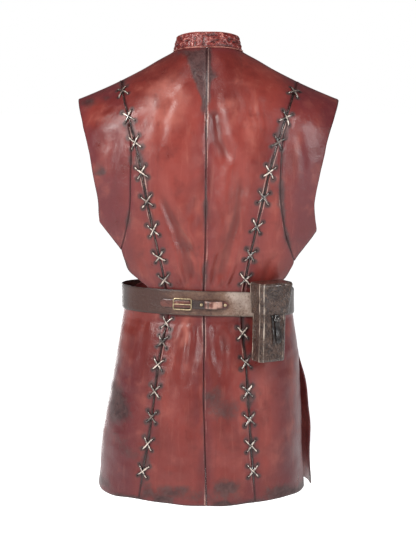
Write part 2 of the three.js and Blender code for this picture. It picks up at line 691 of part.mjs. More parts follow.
// A flat strip along the belt between two places, with rounded ends where asked. high(part) is its lower face.
function strip(from, to, width, thick, high, roundFrom, roundTo, stations) {
  return wall(stations, 3, (i, j, layer) => {
    const part = i / (stations - 1);
    const x = mix(from, to, part);
    const r = width / 2;
    const long = Math.abs(to - from);
    const endRoom = Math.min(roundFrom ? part * long : r, roundTo ? (1 - part) * long : r, r);
    const halfWide = Math.max(Math.sqrt(r * r - (r - endRoom) ** 2), 0.28 * r);
    return onBelt(turnAt(x), STRAP.off + (j - 1) * halfWide, high(part) + (layer ? 0 : thick), true);
  });
}
add(
  "buckle_strap",
  strip(STRAP.from, STRAP.to, STRAP.width, STRAP.thick, () => BELT.thick + SEAT, true, true, 26),
  "strapLeather",
);
const KEEPER = { from: 6, to: -25, width: 14, rise: 5 };
add(
  "strap_keeper",
  strip(KEEPER.from, KEEPER.to, KEEPER.width, 2, (p) => strapTop + SEAT + KEEPER.rise * Math.sin(Math.PI * p) ** 0.8,
    false, false, 11),
  "strapLeather",
);

// A local frame on the belt: across the belt's run, up its width, and away from it.
function beltFrame(x, high) {
  const at = (shift, more) => onBelt(turnAt(x + shift), STRAP.off, high + more, true);
  const origin = at(0, 0);
  const away = at(0, 10).sub(origin).normalize();
  const across = at(-8, 0).sub(at(8, 0)).normalize();
  const up = away.clone().cross(across).normalize();
  return new THREE.Matrix4().makeBasis(across, up, away).setPosition(origin);
}

const BUCKLE = { x: 44.3, width: 35, height: 22, bar: 2.6, tongue: 0.95 };
function roundedRectangle(width, height, radius) {
  const shape = new THREE.Shape();
  const [w, h] = [width / 2 - radius, height / 2 - radius];
  shape.absarc(w, h, radius, 0, Math.PI / 2);
  shape.absarc(-w, h, radius, Math.PI / 2, Math.PI);
  shape.absarc(-w, -h, radius, Math.PI, 1.5 * Math.PI);
  shape.absarc(w, -h, radius, 1.5 * Math.PI, 2 * Math.PI);
  shape.closePath();
  return shape;
}
{
  const seat = strapTop + SEAT + 0.5;
  const frame = roundedRectangle(BUCKLE.width, BUCKLE.height, 4);
  const hole = roundedRectangle(BUCKLE.width - 2 * BUCKLE.bar, BUCKLE.height - 2 * BUCKLE.bar, 2);
  frame.holes.push(hole);
  const ring = new THREE.ExtrudeGeometry(frame, { depth: BUCKLE.bar, bevelEnabled: false, curveSegments: 4 });
  add("buckle_frame", ring.applyMatrix4(beltFrame(BUCKLE.x, seat)), "brass");
  const tongue = new THREE.CylinderGeometry(BUCKLE.tongue, BUCKLE.tongue, BUCKLE.width - 1, 8);
  tongue.rotateZ(Math.PI / 2).translate(0, 0, BUCKLE.bar + SEAT + BUCKLE.tongue);
  add("buckle_tongue", tongue.applyMatrix4(beltFrame(BUCKLE.x, seat)), "brass");
}
add(
  "buckle_billet",
  strip(BUCKLE.x + 13.5, BUCKLE.x - 13.5, 13.5, 1.6, () => strapTop + SEAT, false, false, 7),
  "strapLeather",
);

const STUD = { radius: 3, height: 2.2 };
[11.5, -30].forEach((x, i) => {
  const profile = [
    [0, 0],
    [STUD.radius, 0],
    [STUD.radius, 0.5],
    [STUD.radius * 0.75, STUD.height * 0.75],
    [STUD.radius * 0.35, STUD.height],
    [0, STUD.height],
  ].map(([r, h]) => new THREE.Vector2(r, h));
  const dome = new THREE.LatheGeometry(profile, 12).rotateX(Math.PI / 2);
  add("stud_" + (i + 1), dome.applyMatrix4(beltFrame(x, strapTop + SEAT)), "brass");
});

// ---------------------------------------------------------------- pouch
// A stiff belt pouch: an open-topped body, a lid flap over it, a loop round the belt, and a tied closing strap.
const pouchTurn = THREE.MathUtils.degToRad(POUCH.turn);
const pouchOut = new THREE.Vector3(-Math.sin(pouchTurn), Math.cos(pouchTurn), 0);
const pouchAcross = new THREE.Vector3(-Math.cos(pouchTurn), -Math.sin(pouchTurn), 0);

// The loop: a square ring round the belt, carried along it.
{
  const inside = SEAT;
  const outside = beltSeat(1, POUCH.x, false) + BELT.thick + SEAT + POUCH.loop;
  const tall = BELT.width / 2 + 1;
  const ring = (reach, low, high) => [[-reach, low], [0, low], [reach, low], [reach, high], [0, high], [-reach, high]];
  const outerRing = ring(tall + 2, inside, outside);
  const innerRing = ring(tall, inside + POUCH.loop, outside - POUCH.loop);
  const stations = 5;
  const rings = (corners) => {
    const made = [];
    for (let i = 0; i < stations; i++) {
      const x = POUCH.x + mix(-POUCH.loopHalf, POUCH.loopHalf, i / (stations - 1));
      made.push(corners.map(([off, high]) => roundWaist(turnAt(x), off, high)));
    }
    return made;
  };
  const shell = rings(outerRing);
  const hole = rings(innerRing);
  const faces = [];
  const points = [...shell.flat(), ...hole.flat()];
  const id = (layer, i, k) => layer * stations * 6 + i * 6 + (k % 6);
  for (let k = 0; k < 6; k++) {
    for (let i = 0; i < stations - 1; i++) {
      const n = i + 1;
      faces.push([id(0, i, k), id(0, i, k + 1), id(0, n, k + 1)], [id(0, i, k), id(0, n, k + 1), id(0, n, k)]);
      faces.push([id(1, i, k), id(1, n, k + 1), id(1, i, k + 1)], [id(1, i, k), id(1, n, k), id(1, n, k + 1)]);
    }
    faces.push([id(0, 0, k), id(1, 0, k + 1), id(0, 0, k + 1)], [id(0, 0, k), id(1, 0, k), id(1, 0, k + 1)]);
    const e = stations - 1;
    faces.push([id(0, e, k), id(0, e, k + 1), id(1, e, k + 1)], [id(0, e, k), id(1, e, k + 1), id(1, e, k)]);
  }
  add("pouch_loop", closed(points, faces), "pouchLeather");
}

// The pouch stands just clear of the loop and leans out over the hip. Its own frame: across, out from the body, up.
const LID = { width: 59, depth: 41, drop: 54, flare: 9, shift: 1.3 };
const LID_FOOT = POUCH.top - LID.drop;
const LEAN = 0.16;
// It hangs plumb, so lower down it lies further back across its leaning frame.
const sway = (z) => -2.3 - 0.055 * (POUCH.top - z);
const bodySway = (z) => sway(z) - 0.065 * Math.max(LID_FOOT - z, 0);
const loopOutside = beltSeat(1, POUCH.x, false) + BELT.thick + SEAT + POUCH.loop;
const pouchMiddle = pouchAcross.clone().multiplyScalar(on(1, POUCH.x, BELT.z, 8).dot(pouchAcross));
// Distance out to the pouch's back plane at height z, so that it clears the loop, the belt and the skirt.
const pouchNear = (() => {
  let most = -Infinity;
  for (let x = POUCH.x - 40; x <= POUCH.x + 50; x += 2)
    for (let z = POUCH.foot; z <= POUCH.top + 3; z += 4) {
      const lid = z > LID_FOOT;
      const onBeltBand = Math.abs(z - beltZ(turnAt(x))) < BELT.width / 2 + 3.5;
      const loop = onBeltBand && Math.abs(x - POUCH.x) <= POUCH.loopHalf;
      const belt = beltSeat(1, x, false) + BELT.thick;
      const point = on(1, x, z, loop ? loopOutside : onBeltBand ? belt : 0);
      const shift = lid ? sway(z) + LID.shift : bodySway(z);
      const across = point.dot(pouchAcross) - pouchMiddle.dot(pouchAcross) - shift;
      if (Math.abs(across) < (lid ? LID.width + LID.flare : POUCH.width) / 2)
        most = Math.max(most, point.dot(pouchOut) + LEAN * (z - POUCH.top));
    }
  return (z) => most - 1.6 - LEAN * (z - POUCH.top);
})();

// A ring of a rounded oblong at height z. near: distance of its back from the pouch plane, shift: sideways.
function oblong(width, depth, z, near, shift) {
  const outline = roundedRectangle(width, depth, 6).getPoints(3).slice(0, -1);
  return outline.map(({ x, y }) =>
    pouchMiddle
      .clone()
      .addScaledVector(pouchAcross, x + shift)
      .addScaledVector(pouchOut, pouchNear(z) + near + depth / 2 + y)
      .setZ(z),
  );
}
{
  const w = POUCH.wall;
  const near = w + 0.8;
  const body = (inset, top, foot) =>
    tube(
      [foot, mix(foot, LID_FOOT, 0.5), LID_FOOT, top].map((z) =>
        oblong(POUCH.width - 2 * inset, POUCH.depth - 2 * inset, z, near + inset, bodySway(z)),
      ),
    );
  const rim = POUCH.top - w - 1;
  add("pouch_body", cutBy(body(0, rim, POUCH.foot), body(w, rim + 20, POUCH.foot + w)), "pouchLeather");
  const lid = (inset, top, foot) =>
    tube(
      [0, 0.5, 1].map((up) => {
        const z = mix(foot, top, up);
        const flare = LID.flare * up;
        const width = LID.width + flare - 2 * inset;
        const depth = LID.depth + 0.5 * flare - 2 * inset;
        return oblong(width, depth, z, inset, sway(z) + LID.shift + 0.4 * flare);
      }),
    );
  add("pouch_lid", cutBy(lid(0, POUCH.top, LID_FOOT), lid(w, POUCH.top - w, LID_FOOT - 20)), "pouchLeather");

  // The closing strap hangs from a knot under the lid's edge, down the front of the body.
  const face = near + POUCH.depth + SEAT;
  const CLOSING = { width: 9, thick: 2, long: 50, shift: 7 };
  const strap = (() => {
    const outline = roundedRectangle(CLOSING.width, CLOSING.long, 3);
    const hole = new THREE.Path().absarc(0, -CLOSING.long / 2 + 7, 1.6, 0, 2 * Math.PI, true);
    outline.holes.push(hole);
    return new THREE.ExtrudeGeometry(outline, { depth: CLOSING.thick, bevelEnabled: false, curveSegments: 4 });
  })();
  const up = new THREE.Vector3(0, 0, 1).addScaledVector(pouchOut, -LEAN).normalize();
  const frameAt = (shift, out, z) =>
    new THREE.Matrix4()
      .makeBasis(pouchAcross, up, pouchAcross.clone().cross(up))
      .setPosition(
        pouchMiddle
          .clone()
          .addScaledVector(pouchAcross, bodySway(z) + shift)
          .addScaledVector(pouchOut, pouchNear(z) + out)
          .setZ(z),
      );
  const hang = LID_FOOT - 2 - CLOSING.long / 2;
  add("pouch_strap", strap.applyMatrix4(frameAt(CLOSING.shift, face, hang)), "darkThong");
  const cord = new THREE.ExtrudeGeometry(roundedRectangle(4, CLOSING.long, 1.8), {
    depth: 2,
    bevelEnabled: false,
    curveSegments: 3,
  });
  add("pouch_thong", cord.applyMatrix4(frameAt(-2, face, hang)), "darkThong");
  const knot = new THREE.SphereGeometry(4.2, 10, 8).scale(1.3, 1, 0.8);
  const knotOut = face + CLOSING.thick + SEAT + 4.2 * 0.8;
  add("pouch_knot", knot.applyMatrix4(frameAt(3.5, knotOut, LID_FOOT - 8)), "darkThong");
}

export default vest;
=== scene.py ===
import math

import bpy
import numpy as np
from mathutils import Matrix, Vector


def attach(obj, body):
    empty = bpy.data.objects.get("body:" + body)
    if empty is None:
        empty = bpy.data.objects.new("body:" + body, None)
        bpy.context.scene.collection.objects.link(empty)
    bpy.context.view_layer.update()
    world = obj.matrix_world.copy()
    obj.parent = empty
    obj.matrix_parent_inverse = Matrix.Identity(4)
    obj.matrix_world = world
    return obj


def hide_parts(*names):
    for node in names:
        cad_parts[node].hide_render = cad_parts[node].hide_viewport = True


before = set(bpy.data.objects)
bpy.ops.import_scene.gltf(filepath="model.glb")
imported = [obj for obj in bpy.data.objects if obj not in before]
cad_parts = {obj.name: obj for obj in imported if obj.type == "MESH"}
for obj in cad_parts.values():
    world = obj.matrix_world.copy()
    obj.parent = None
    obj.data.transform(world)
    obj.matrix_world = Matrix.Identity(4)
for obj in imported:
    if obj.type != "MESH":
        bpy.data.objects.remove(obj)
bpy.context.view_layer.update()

# ---------------------------------------------------------------- studio
# A pale floor as far below the vest as a standing wearer's feet, and four soft lights: one from each side
# behind the wearer, a wide low one in front and a weak one above. The camera is three metres behind, at the
# collar's height.
FLOOR_Z = -1.47
scene = bpy.context.scene
scene.view_settings.view_transform = "Standard"

camera = bpy.data.objects.new("camera", bpy.data.cameras.new("camera"))
camera.data.lens = 106.2
camera.data.sensor_width = 36
camera.location = (0, 3.0, 0.02)
camera.rotation_euler = (math.radians(90 - 8.24), 0, math.radians(180))
scene.collection.objects.link(camera)
scene.camera = camera

for name, stand, aim, size, power, warmth in [
    ("softbox_left", (1.3, 1.7, 0.85), (0, 0, -0.25), 0.65, 54, (1, 0.985, 0.96)),
    ("softbox_right", (-1.6, 1.4, 0.4), (0, 0, -0.45), 0.65, 22, (0.97, 0.985, 1)),
    ("softbox_front", (0.6, -2.9, -0.7), (0, 0, -0.4), 1.4, 24, (1, 1, 1)),
    ("softbox_above", (0.3, 0.9, 2.0), (0, 0, -0.1), 0.8, 5, (1, 1, 1)),
]:
    lamp = bpy.data.lights.new(name, "AREA")
    lamp.size = size
    lamp.energy = power
    lamp.color = warmth
    softbox = bpy.data.objects.new(name, lamp)
    softbox.location = stand
    softbox.rotation_euler = (Vector(aim) - Vector(stand)).to_track_quat("-Z", "Y").to_euler()
    scene.collection.objects.link(softbox)


class Flow:
    """A shader value that is summed and scaled in plain arithmetic."""

    def __init__(self, finish, out):
        self.finish, self.out = finish, out

    def sum(self, operation, a, b):
        return self.finish.node("ShaderNodeMath", {0: a, 1: b}, operation=operation)

    def __add__(self, other):
        return self.sum("ADD", self, other)

    def __sub__(self, other):
        return self.sum("SUBTRACT", self, other)

    def __rsub__(self, other):
        return self.sum("SUBTRACT", other, self)

    def __mul__(self, other):
        return self.sum("MULTIPLY", self, other)

    __radd__ = __add__
    __rmul__ = __mul__

    def between(self, low, high):
        """0 at low, 1 at high, soft in between."""
        ends = {"Value": self, "From Min": low, "From Max": high}
        return self.finish.node("ShaderNodeMapRange", ends, interpolation_type="SMOOTHSTEP")


class Finish:
    """One leather or metal finish, or the studio's light, built node by node."""

    def __init__(self, name, tree=None):
        if tree is None:
            self.material = bpy.data.materials.new(name)
            self.material.use_nodes = True
            tree = self.material.node_tree
        self.tree = tree
        self.tree.nodes.clear()

    def node(self, kind, sockets=None, out=0, **settings):
        made = self.tree.nodes.new(kind)
        for key, value in settings.items():
            setattr(made, key, value)
        for key, value in (sockets or {}).items():
            if isinstance(value, Flow):
                self.tree.links.new(value.out, made.inputs[key])
            else:
                made.inputs[key].default_value = value
        return Flow(self, made.outputs[out]) if made.outputs else None

    def place(self):
        return self.node("ShaderNodeTexCoord", out="Object")

    def stretched(self, at, scale):
        return self.node("ShaderNodeMapping", {"Vector": at, "Scale": scale})

    def noise(self, at, scale, detail=3, rough=0.5, warp=0.0):
        sockets = {"Vector": at, "Scale": scale, "Detail": detail, "Roughness": rough, "Distortion": warp}
        return self.node("ShaderNodeTexNoise", sockets)

    def mark(self, name):
        return self.node("ShaderNodeAttribute", out="Fac", attribute_name=name)

    def mix(self, share, a, b):
        return self.node("ShaderNodeMix", {0: share, 6: a, 7: b}, 2, data_type="RGBA", clamp_factor=True)

    def bump(self, height, distance, strength=1.0, under=None):
        sockets = {"Height": height, "Distance": distance, "Strength": strength}
        if under:
            sockets["Normal"] = under
        return self.node("ShaderNodeBump", sockets)

    def surface(self, **sockets):
        names = {key.replace("_", " "): value for key, value in sockets.items()}
        skin = self.node("ShaderNodeBsdfPrincipled", names)
        self.node("ShaderNodeOutputMaterial", {"Surface": skin})
        return self.material


def tint(red, green, blue):
    """A colour as seen, 0 to 255, in the renderer's own light values."""
    seen = np.array([red, green, blue]) / 255
    light = np.where(seen < 0.04045, seen / 12.92, ((seen + 0.055) / 1.055) ** 2.4)
    return (*light.tolist(), 1)


world = bpy.data.worlds.new("studio")
world.use_nodes = True
scene.world = world
sky = Finish("studio", world.node_tree)
seen = sky.node("ShaderNodeLightPath", out="Is Camera Ray")
shade = sky.mix(seen, (0.1, 0.1, 0.105, 1), (1, 1, 1, 1))
sky.node("ShaderNodeOutputWorld", {"Surface": sky.node("ShaderNodeBackground", {"Color": shade})})

floor_mesh = bpy.data.meshes.new("floor")
corners = [(-30, -30), (30, -30), (30, 30), (-30, 30)]
floor_mesh.from_pydata([(x, y, FLOOR_Z) for x, y in corners], [], [(0, 1, 2, 3)])
floor = bpy.data.objects.new("floor", floor_mesh)
scene.collection.objects.link(floor)
paper = Finish("pale floor")
away = paper.node("ShaderNodeVectorMath", {0: paper.place()}, 1, operation="LENGTH").between(1.0, 4.0)
glow = paper.mix(away, (0.5, 0.5, 0.5, 1), (1, 1, 1, 1))
floor_mesh.materials.append(
    paper.surface(Base_Color=(0.8, 0.8, 0.8, 1), Roughness=0.9, Emission_Color=glow, Emission_Strength=1.0)
)

# ---------------------------------------------------------------- centre back panels
# Two long pieces of red-brown leather, sewn down the spine with their edges turned, and laced at their
# outer edges. Like every panel they hang from the shoulders, are drawn in by the belt and stand away over
# the hips.
WALL = 2.4
SEWN_GAP = 0.04
SHOULDER_ROUND = 80.0
HEM_Z = -806.0
VENT_TOP_Z = -545.0
NECK_HALF = 62.0
FRONT_LAP = 15.0
BELT_Z = -451.0
SIDE_POINT_Z = -124.0
ARMHOLE_FOOT_Z = -456.0
LEVEL_ROWS_Z = -380.0

# Level sections of the worn form: height, half width, depth behind, depth in front, boxiness.
FORM = np.array([
    (60, 258, 60, 56, 0.45), (10, 258, 78, 68, 0.45), (-50, 258, 96, 80, 0.45), (-110, 257, 108, 100, 0.45),
    (-180, 254, 118, 118, 0.45), (-250, 246, 121, 124, 0.42), (-315, 228, 119, 121, 0.36),
    (-365, 202, 114, 116, 0.28), (-397, 177, 109.5, 111.5, 0.2), (-411, 163, 107, 109, 0.17),
    (-420, 157.5, 105.6, 107.6, 0.15), (-446, 156, 105, 107, 0.15), (-480, 157, 106, 107.5, 0.15),
    (-490, 158.8, 108.5, 108.6, 0.15), (-510, 162, 113.5, 111.2, 0.18), (-560, 169, 122, 116, 0.2),
    (-620, 179, 130, 121, 0.2), (-684, 190, 136, 125, 0.2), (-750, 197, 140, 128, 0.2),
    (-830, 204, 143, 130, 0.2),
])
# Shoulder seam: distance from the middle, height.
SHOULDER = [
    (0, 34), (16, 31), (31, 25), (45, 16.5), (56, 6.5), (62, 0), (90, -15.5), (120, -33), (166, -56),
    (196, -69.5), (236, -86), (262, -96),
]
# Seams of the back: height, distance from the middle on the left and on the right.
CENTRE_SEAM = [
    (20, 2), (-120, 3), (-260, 4), (-350, 5), (-422, 8), (-511, 7), (-618, 8), (-690, 6), (-830, 2),
]
LACED_SEAM = [
    (-40, 157, 163), (-57, 155, 160), (-75, 151, 152), (-113, 140, 138), (-158, 128, 123), (-210, 117, 108),
    (-260, 108, 97), (-313, 97, 85), (-360, 87, 75), (-410, 77, 66), (-446, 72, 62), (-476, 73, 61),
    (-510, 80, 63), (-557, 89, 68), (-604, 95, 71), (-651, 101, 74), (-700, 108, 77), (-750, 117, 81),
    (-830, 129, 87),
]


def ease(start, end, at):
    t = np.clip((at - start) / (end - start), 0, 1)
    return t * t * (3 - 2 * t)


def along(rows, column, at):
    """Smooth value of one column of a table at a place in its first column."""
    table = np.array(rows, float)
    table = table[np.argsort(table[:, 0])]
    p, v = table[:, 0], table[:, column]
    slope = np.empty_like(v)
    slope[1:-1] = (v[2:] - v[:-2]) / (p[2:] - p[:-2])
    slope[0] = (v[1] - v[0]) / (p[1] - p[0])
    slope[-1] = (v[-1] - v[-2]) / (p[-1] - p[-2])
    at = np.clip(at, p[0], p[-1])
    i = np.clip(np.searchsorted(p, at) - 1, 0, len(p) - 2)
    h = p[i + 1] - p[i]
    s = (at - p[i]) / h
    return (
        (2 * s**3 - 3 * s**2 + 1) * v[i]
        + (s**3 - 2 * s**2 + s) * h * slope[i]
        + (3 * s**2 - 2 * s**3) * v[i + 1]
        + (s**3 - s**2) * h * slope[i + 1]
    )


def laced_x(side, z):
    return along(LACED_SEAM, 1 if side > 0 else 2, z)


def centre_x(z):
    return along(CENTRE_SEAM, 1, z)


def shoulder_z(x):
    return along(SHOULDER, 1, np.abs(x))


def half_width(face, x, z):
    """Half width of the form. The skirt hangs wider in parts, the wearer's right back most of all."""
    left = 0.02 * ease(-520, -760, z)
    if face > 0:
        right = -0.1 * ease(-530, -760, z)
    else:
        right = 0.03 * ease(-545, -610, z) - 0.065 * ease(-610, -800, z)
    return along(FORM, 1, z) * (1 + np.where(np.asarray(x) < 0, right, left))


def bare(face, angle, fall):
    """Points of the smooth form: angle round the body from the middle, fall over the shoulder and down."""
    drop = SHOULDER_ROUND * np.where(fall < math.pi / 2, 1 - np.cos(fall), 1 + fall - math.pi / 2)
    z = -drop
    for _ in range(12):
        x = half_width(face, angle, z) * np.sin(angle)
        z = shoulder_z(x) - drop
    s = np.sin(angle)
    over = np.where(fall < math.pi / 2, np.sin(fall), 1)
    depth = along(FORM, 2 if face > 0 else 3, z) * np.cos(angle) * (1 + along(FORM, 4, z) * s * s) * over
    return np.stack([x, face * (depth + SEWN_GAP / 2), z], -1)


def place(face, x, z):
    drop = shoulder_z(x) - z
    turned = np.arccos(np.clip(1 - drop / SHOULDER_ROUND, 0, 1))
    fall = np.where(drop < SHOULDER_ROUND, turned, math.pi / 2 + drop / SHOULDER_ROUND - 1)
    return np.arcsin(np.clip(x / half_width(face, x, z), -1, 1)), fall


def outward(face, angle, fall):
    e = 1e-3
    round_body = bare(face, angle + e, fall) - bare(face, angle - e, fall)
    down = bare(face, angle, fall + e) - bare(face, angle, fall - e)
    normal = face * np.cross(round_body, down)
    return normal / np.linalg.norm(normal, axis=-1, keepdims=True)


def clouds(u, v, size, seed):
    """A smooth random field from -1 to 1 with spots about size across."""
    random = np.random.default_rng(seed).uniform(-1, 1, (61, 61))
    u, v = u / size, v / size
    i, j = np.floor(u).astype(int), np.floor(v).astype(int)
    fu, fv = u - i, v - j
    fu, fv = fu * fu * (3 - 2 * fu), fv * fv * (3 - 2 * fv)
    a, b = random[i % 61, j % 61], random[(i + 1) % 61, j % 61]
    c, d = random[i % 61, (j + 1) % 61], random[(i + 1) % 61, (j + 1) % 61]
    return (a * (1 - fu) + b * fu) * (1 - fv) + (c * (1 - fu) + d * fu) * fv


# Soft bulges: x, z, width, height, how far out.
BULGES = [
    (84, -165, 52, 76, 5), (-84, -165, 52, 76, 5), (3, -230, 22, 150, -4), (52, -660, 30, 130, 4),
    (-34, -690, 24, 110, 4), (12, -740, 16, 80, -4), (156, -700, 30, 120, 2.5), (-132, -680, 32, 110, 3),
]
# Folds: depth, width, then the line that each sinks along. They fan out above and below the belt.
FOLDS = [
    (6, 11, [(23, -421), (40, -350), (58, -305), (80, -262), (92, -215)]),
    (6, 11, [(-16, -418), (-34, -350), (-50, -300), (-56, -239), (-60, -175)]),
    (5, 12, [(-9, -100), (-18, -150), (-42, -202)]),
    (4.5, 11, [(30, -474), (44, -520), (50, -600)]),
    (4.5, 11, [(-20, -474), (-30, -520), (-28, -590)]),
]
CREASES = [
    (3.4, 5, [(50, -416), (62, -380), (70, -335)]),
    (2.6, 4.5, [(12, -416), (17, -372), (34, -330), (52, -305)]),
    (3.0, 5, [(-38, -418), (-54, -380), (-64, -345)]),
    (2.4, 4.5, [(-8, -418), (-12, -380), (-22, -345)]),
    (1.8, 4, [(34, -416), (42, -392), (48, -362)]),
    (1.6, 4, [(-26, -418), (-32, -396), (-42, -372)]),
    (3.0, 7, [(20, -480), (20, -505), (27, -555), (36, -600)]),
    (2.0, 7, [(54, -480), (60, -510), (72, -560)]),
    (2.0, 6, [(-12, -482), (-11, -510), (-16, -570)]),
    (1.4, 7, [(-46, -482), (-50, -520), (-44, -600)]),
    (1.0, 5, [(38, -480), (41, -505), (44, -535)]),
    (1.3, 5, [(100, -420), (112, -385), (130, -352)]),
    (1.4, 6, [(112, -470), (118, -520), (128, -590)]),
    (1.3, 6, [(-96, -420), (-110, -380), (-128, -350)]),
    (1.2, 7, [(60, -80), (78, -120), (84, -170)]),
    (1.2, 6, [(-70, -70), (-84, -110), (-92, -150)]),
    (1.3, 6, [(20, -250), (30, -285), (52, -310)]),
    (1.2, 5, [(-20, -255), (-30, -290), (-44, -312)]),
    (0.9, 4, [(150, -70), (170, -96), (196, -112)]),
    (1.0, 6, [(160, -150), (172, -200), (176, -250)]),
    (1.0, 6, [(-156, -140), (-170, -190), (-168, -260)]),
]


def line_distance(line, x, z):
    best = np.full(np.shape(x), 1e9)
    part = np.zeros(np.shape(x))
    for i, ((ax, az), (bx, bz)) in enumerate(zip(line, line[1:])):
        dx, dz = bx - ax, bz - az
        t = np.clip(((x - ax) * dx + (z - az) * dz) / (dx * dx + dz * dz), 0, 1)
        d = np.hypot(x - ax - t * dx, z - az - t * dz)
        part = np.where(d < best, (i + t) / (len(line) - 1), part)
        best = np.minimum(best, d)
    return best, part


def creased(x, z, lines, calm, start=0.1):
    """Hollows along the lines, each with a low ridge beside it, at full depth from start on."""
    out = np.zeros(np.shape(x))
    for deep, wide, line in lines:
        distance, part = line_distance(line, x, z)
        q = distance / wide
        fade = ease(1.04, 0.7, part) * ease(-0.02, start, part) * calm
        out = out - deep * fade * (np.exp(-q * q) - 0.4 * np.exp(-((q - 2) ** 2)))
    return out


def free(z, start=29.5, end=64.5):
    """0 where the belt holds the leather flat, 1 away from it."""
    return ease(start, end, np.abs(z - BELT_Z))


def soft_form(x, z, fine=True):
    """How far the back stands out over the smooth form, in bulges, folds and small creases."""
    out = sum(far * np.exp(-(((x - bx) / w) ** 2) - ((z - bz) / h) ** 2) for bx, bz, w, h, far in BULGES)
    seam = np.where(x > 0, laced_x(1, z), laced_x(-1, z))
    calm = ease(12, 34, np.abs(np.abs(x) - seam))
    out = out + creased(x, z, FOLDS, calm)
    out = out * free(z)
    if fine:
        below = ease(3, 30, shoulder_z(x) - z)
        out = out + creased(x, z, CREASES, calm) * free(z, 27, 38) * below
        uneven = 1.1 * clouds(x, z, 37, 3) + 0.6 * clouds(x, z, 15, 5)
        out = out + uneven * calm * free(z, 29, 50) * below
    return out


def matched(*values):
    return np.broadcast_arrays(*(np.asarray(value, float) for value in values))


def on_back(x, z, high=0.0, fine=True):
    """Points and directions a little above the back's leather, at x and z."""
    x, z, high = matched(x, z, high)
    at = place(1, x, z)
    normal = outward(1, *at)
    return bare(1, *at) + normal * (high + soft_form(x, z, fine))[..., None], normal


def on_front(x, z, high=0.0):
    """Points and directions a little above the smooth form in front, at x and z."""
    x, z, high = matched(x, z, high)
    at = place(-1, x, z)
    normal = outward(-1, *at)
    return bare(-1, *at) + normal * high[..., None], normal


def cut(numbers, step):
    """The numbers with more in between, none further apart than step."""
    made = [numbers[0]]
    for a, b in zip(numbers, numbers[1:]):
        made += np.linspace(a, b, max(1, math.ceil(abs(b - a) / step)) + 1)[1:].tolist()
    return np.array(made)


def panel_grid(face, side, levels, top, top_at, meet, near, far, step):
    """x and z of a panel's points: rows follow the top edge at first and are level from meet down."""
    fine_levels = cut(levels, step)
    places = cut(list(range(len(top))), 1 / max(1, round(18 / step)))
    x_top = np.interp(places, range(len(top)), top)[None, :]
    share = (places / (len(top) - 1))[None, :]
    level = fine_levels[:, None]
    z_top = top_at(x_top)
    keep = np.maximum((level - meet) / (levels[0] - meet), 0)
    z = level + keep * (z_top - levels[0])

    def angle_at(x, height):
        return np.arcsin(np.clip(x / half_width(face, side, height), -1, 1))

    top_share = (angle_at(x_top, z_top) - angle_at(near(z_top), z_top)) / (
        angle_at(far(z_top), z_top) - angle_at(near(z_top), z_top)
    )
    spread = share + (top_share - share) * keep
    first, last = angle_at(near(z), z), angle_at(far(z), z)
    x = half_width(face, side, z) * np.sin(first + (last - first) * spread)
    dip = -5 + 8 * ease(0, 150, x) - 3 * ease(140, 205, x) + 0.9 * clouds(side * x, 0 * x, 34, 9)
    return side * x, z + dip * ease(HEM_Z + 40, HEM_Z, level)


def bump_at(distance, middle, wide):
    """1 at the middle, falling to almost nothing twice as far off as it is wide."""
    return np.exp(-(((distance - middle) / wide) ** 2))


def edge_distances(points):
    """Distance of each grid point from the first and last column and row, along the leather."""
    across = np.linalg.norm(np.diff(points, axis=1), axis=-1)
    down = np.linalg.norm(np.diff(points, axis=0), axis=-1)
    near = np.concatenate([np.zeros((len(points), 1)), np.cumsum(across, 1)], 1)
    top = np.concatenate([np.zeros((1, points.shape[1])), np.cumsum(down, 0)], 0)
    return near, near[:, -1:] - near, top, top[-1:] - top


def solid(name, points, faces, material, marks, sharp=180):
    """A closed piece of points in millimetres with named marks. Edges past the angle stay sharp."""
    corners = points[np.array([(face[0], a, b) for face in faces for a, b in zip(face[1:], face[2:])])]
    if np.einsum("ij,ij->", corners[:, 0], np.cross(corners[:, 1], corners[:, 2])) < 0:
        faces = [face[::-1] for face in faces]
    mesh = bpy.data.meshes.new(name)
    mesh.from_pydata((points / 1000).tolist(), [], faces)
    for key, value in marks.items():
        mesh.attributes.new(key, "FLOAT", "POINT").data.foreach_set("value", value.astype(np.float32))
    mesh.polygons.foreach_set("use_smooth", np.ones(len(mesh.polygons), bool))
    if sharp < 180:
        mesh.set_sharp_from_angle(angle=math.radians(sharp))
    mesh.materials.append(material)
    piece = bpy.data.objects.new(name, mesh)
    scene.collection.objects.link(piece)
    return piece


def grid_faces(index):
    return np.stack([index[:-1, :-1], index[:-1, 1:], index[1:, 1:], index[1:, :-1]], -1).reshape(-1, 4)


def wall(name, outer, inner, marks, material, loop=False):
    """A closed wall of two layers of rows and columns, with its rims. A loop's last row meets its first."""
    shape = outer.shape[:2]
    n = shape[0] * shape[1]
    index = np.arange(n).reshape(shape)
    rims = [index[:, 0], index[-1], index[::-1, -1], index[0, ::-1]]
    if loop:
        index = np.concatenate([index, index[:1]])
        rims = [index[:, 0], index[::-1, -1]]
    faces = [grid_faces(index), grid_faces(index)[:, ::-1] + n]
    faces += [np.stack([rim[:-1], rim[1:], rim[1:] + n, rim[:-1] + n], -1) for rim in rims]
    points = np.concatenate([outer.reshape(-1, 3), inner.reshape(-1, 3)])
    marks = {key: np.tile(np.broadcast_to(value, shape).ravel(), 2) for key, value in marks.items()}
    return solid(name, points, np.concatenate(faces).tolist(), material, marks, 50)


def settle(piece, slot, *nodes):
    """The piece rides on the vest and stands for its CAD solids."""
    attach(piece, "root")
    if nodes:
        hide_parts(*nodes)


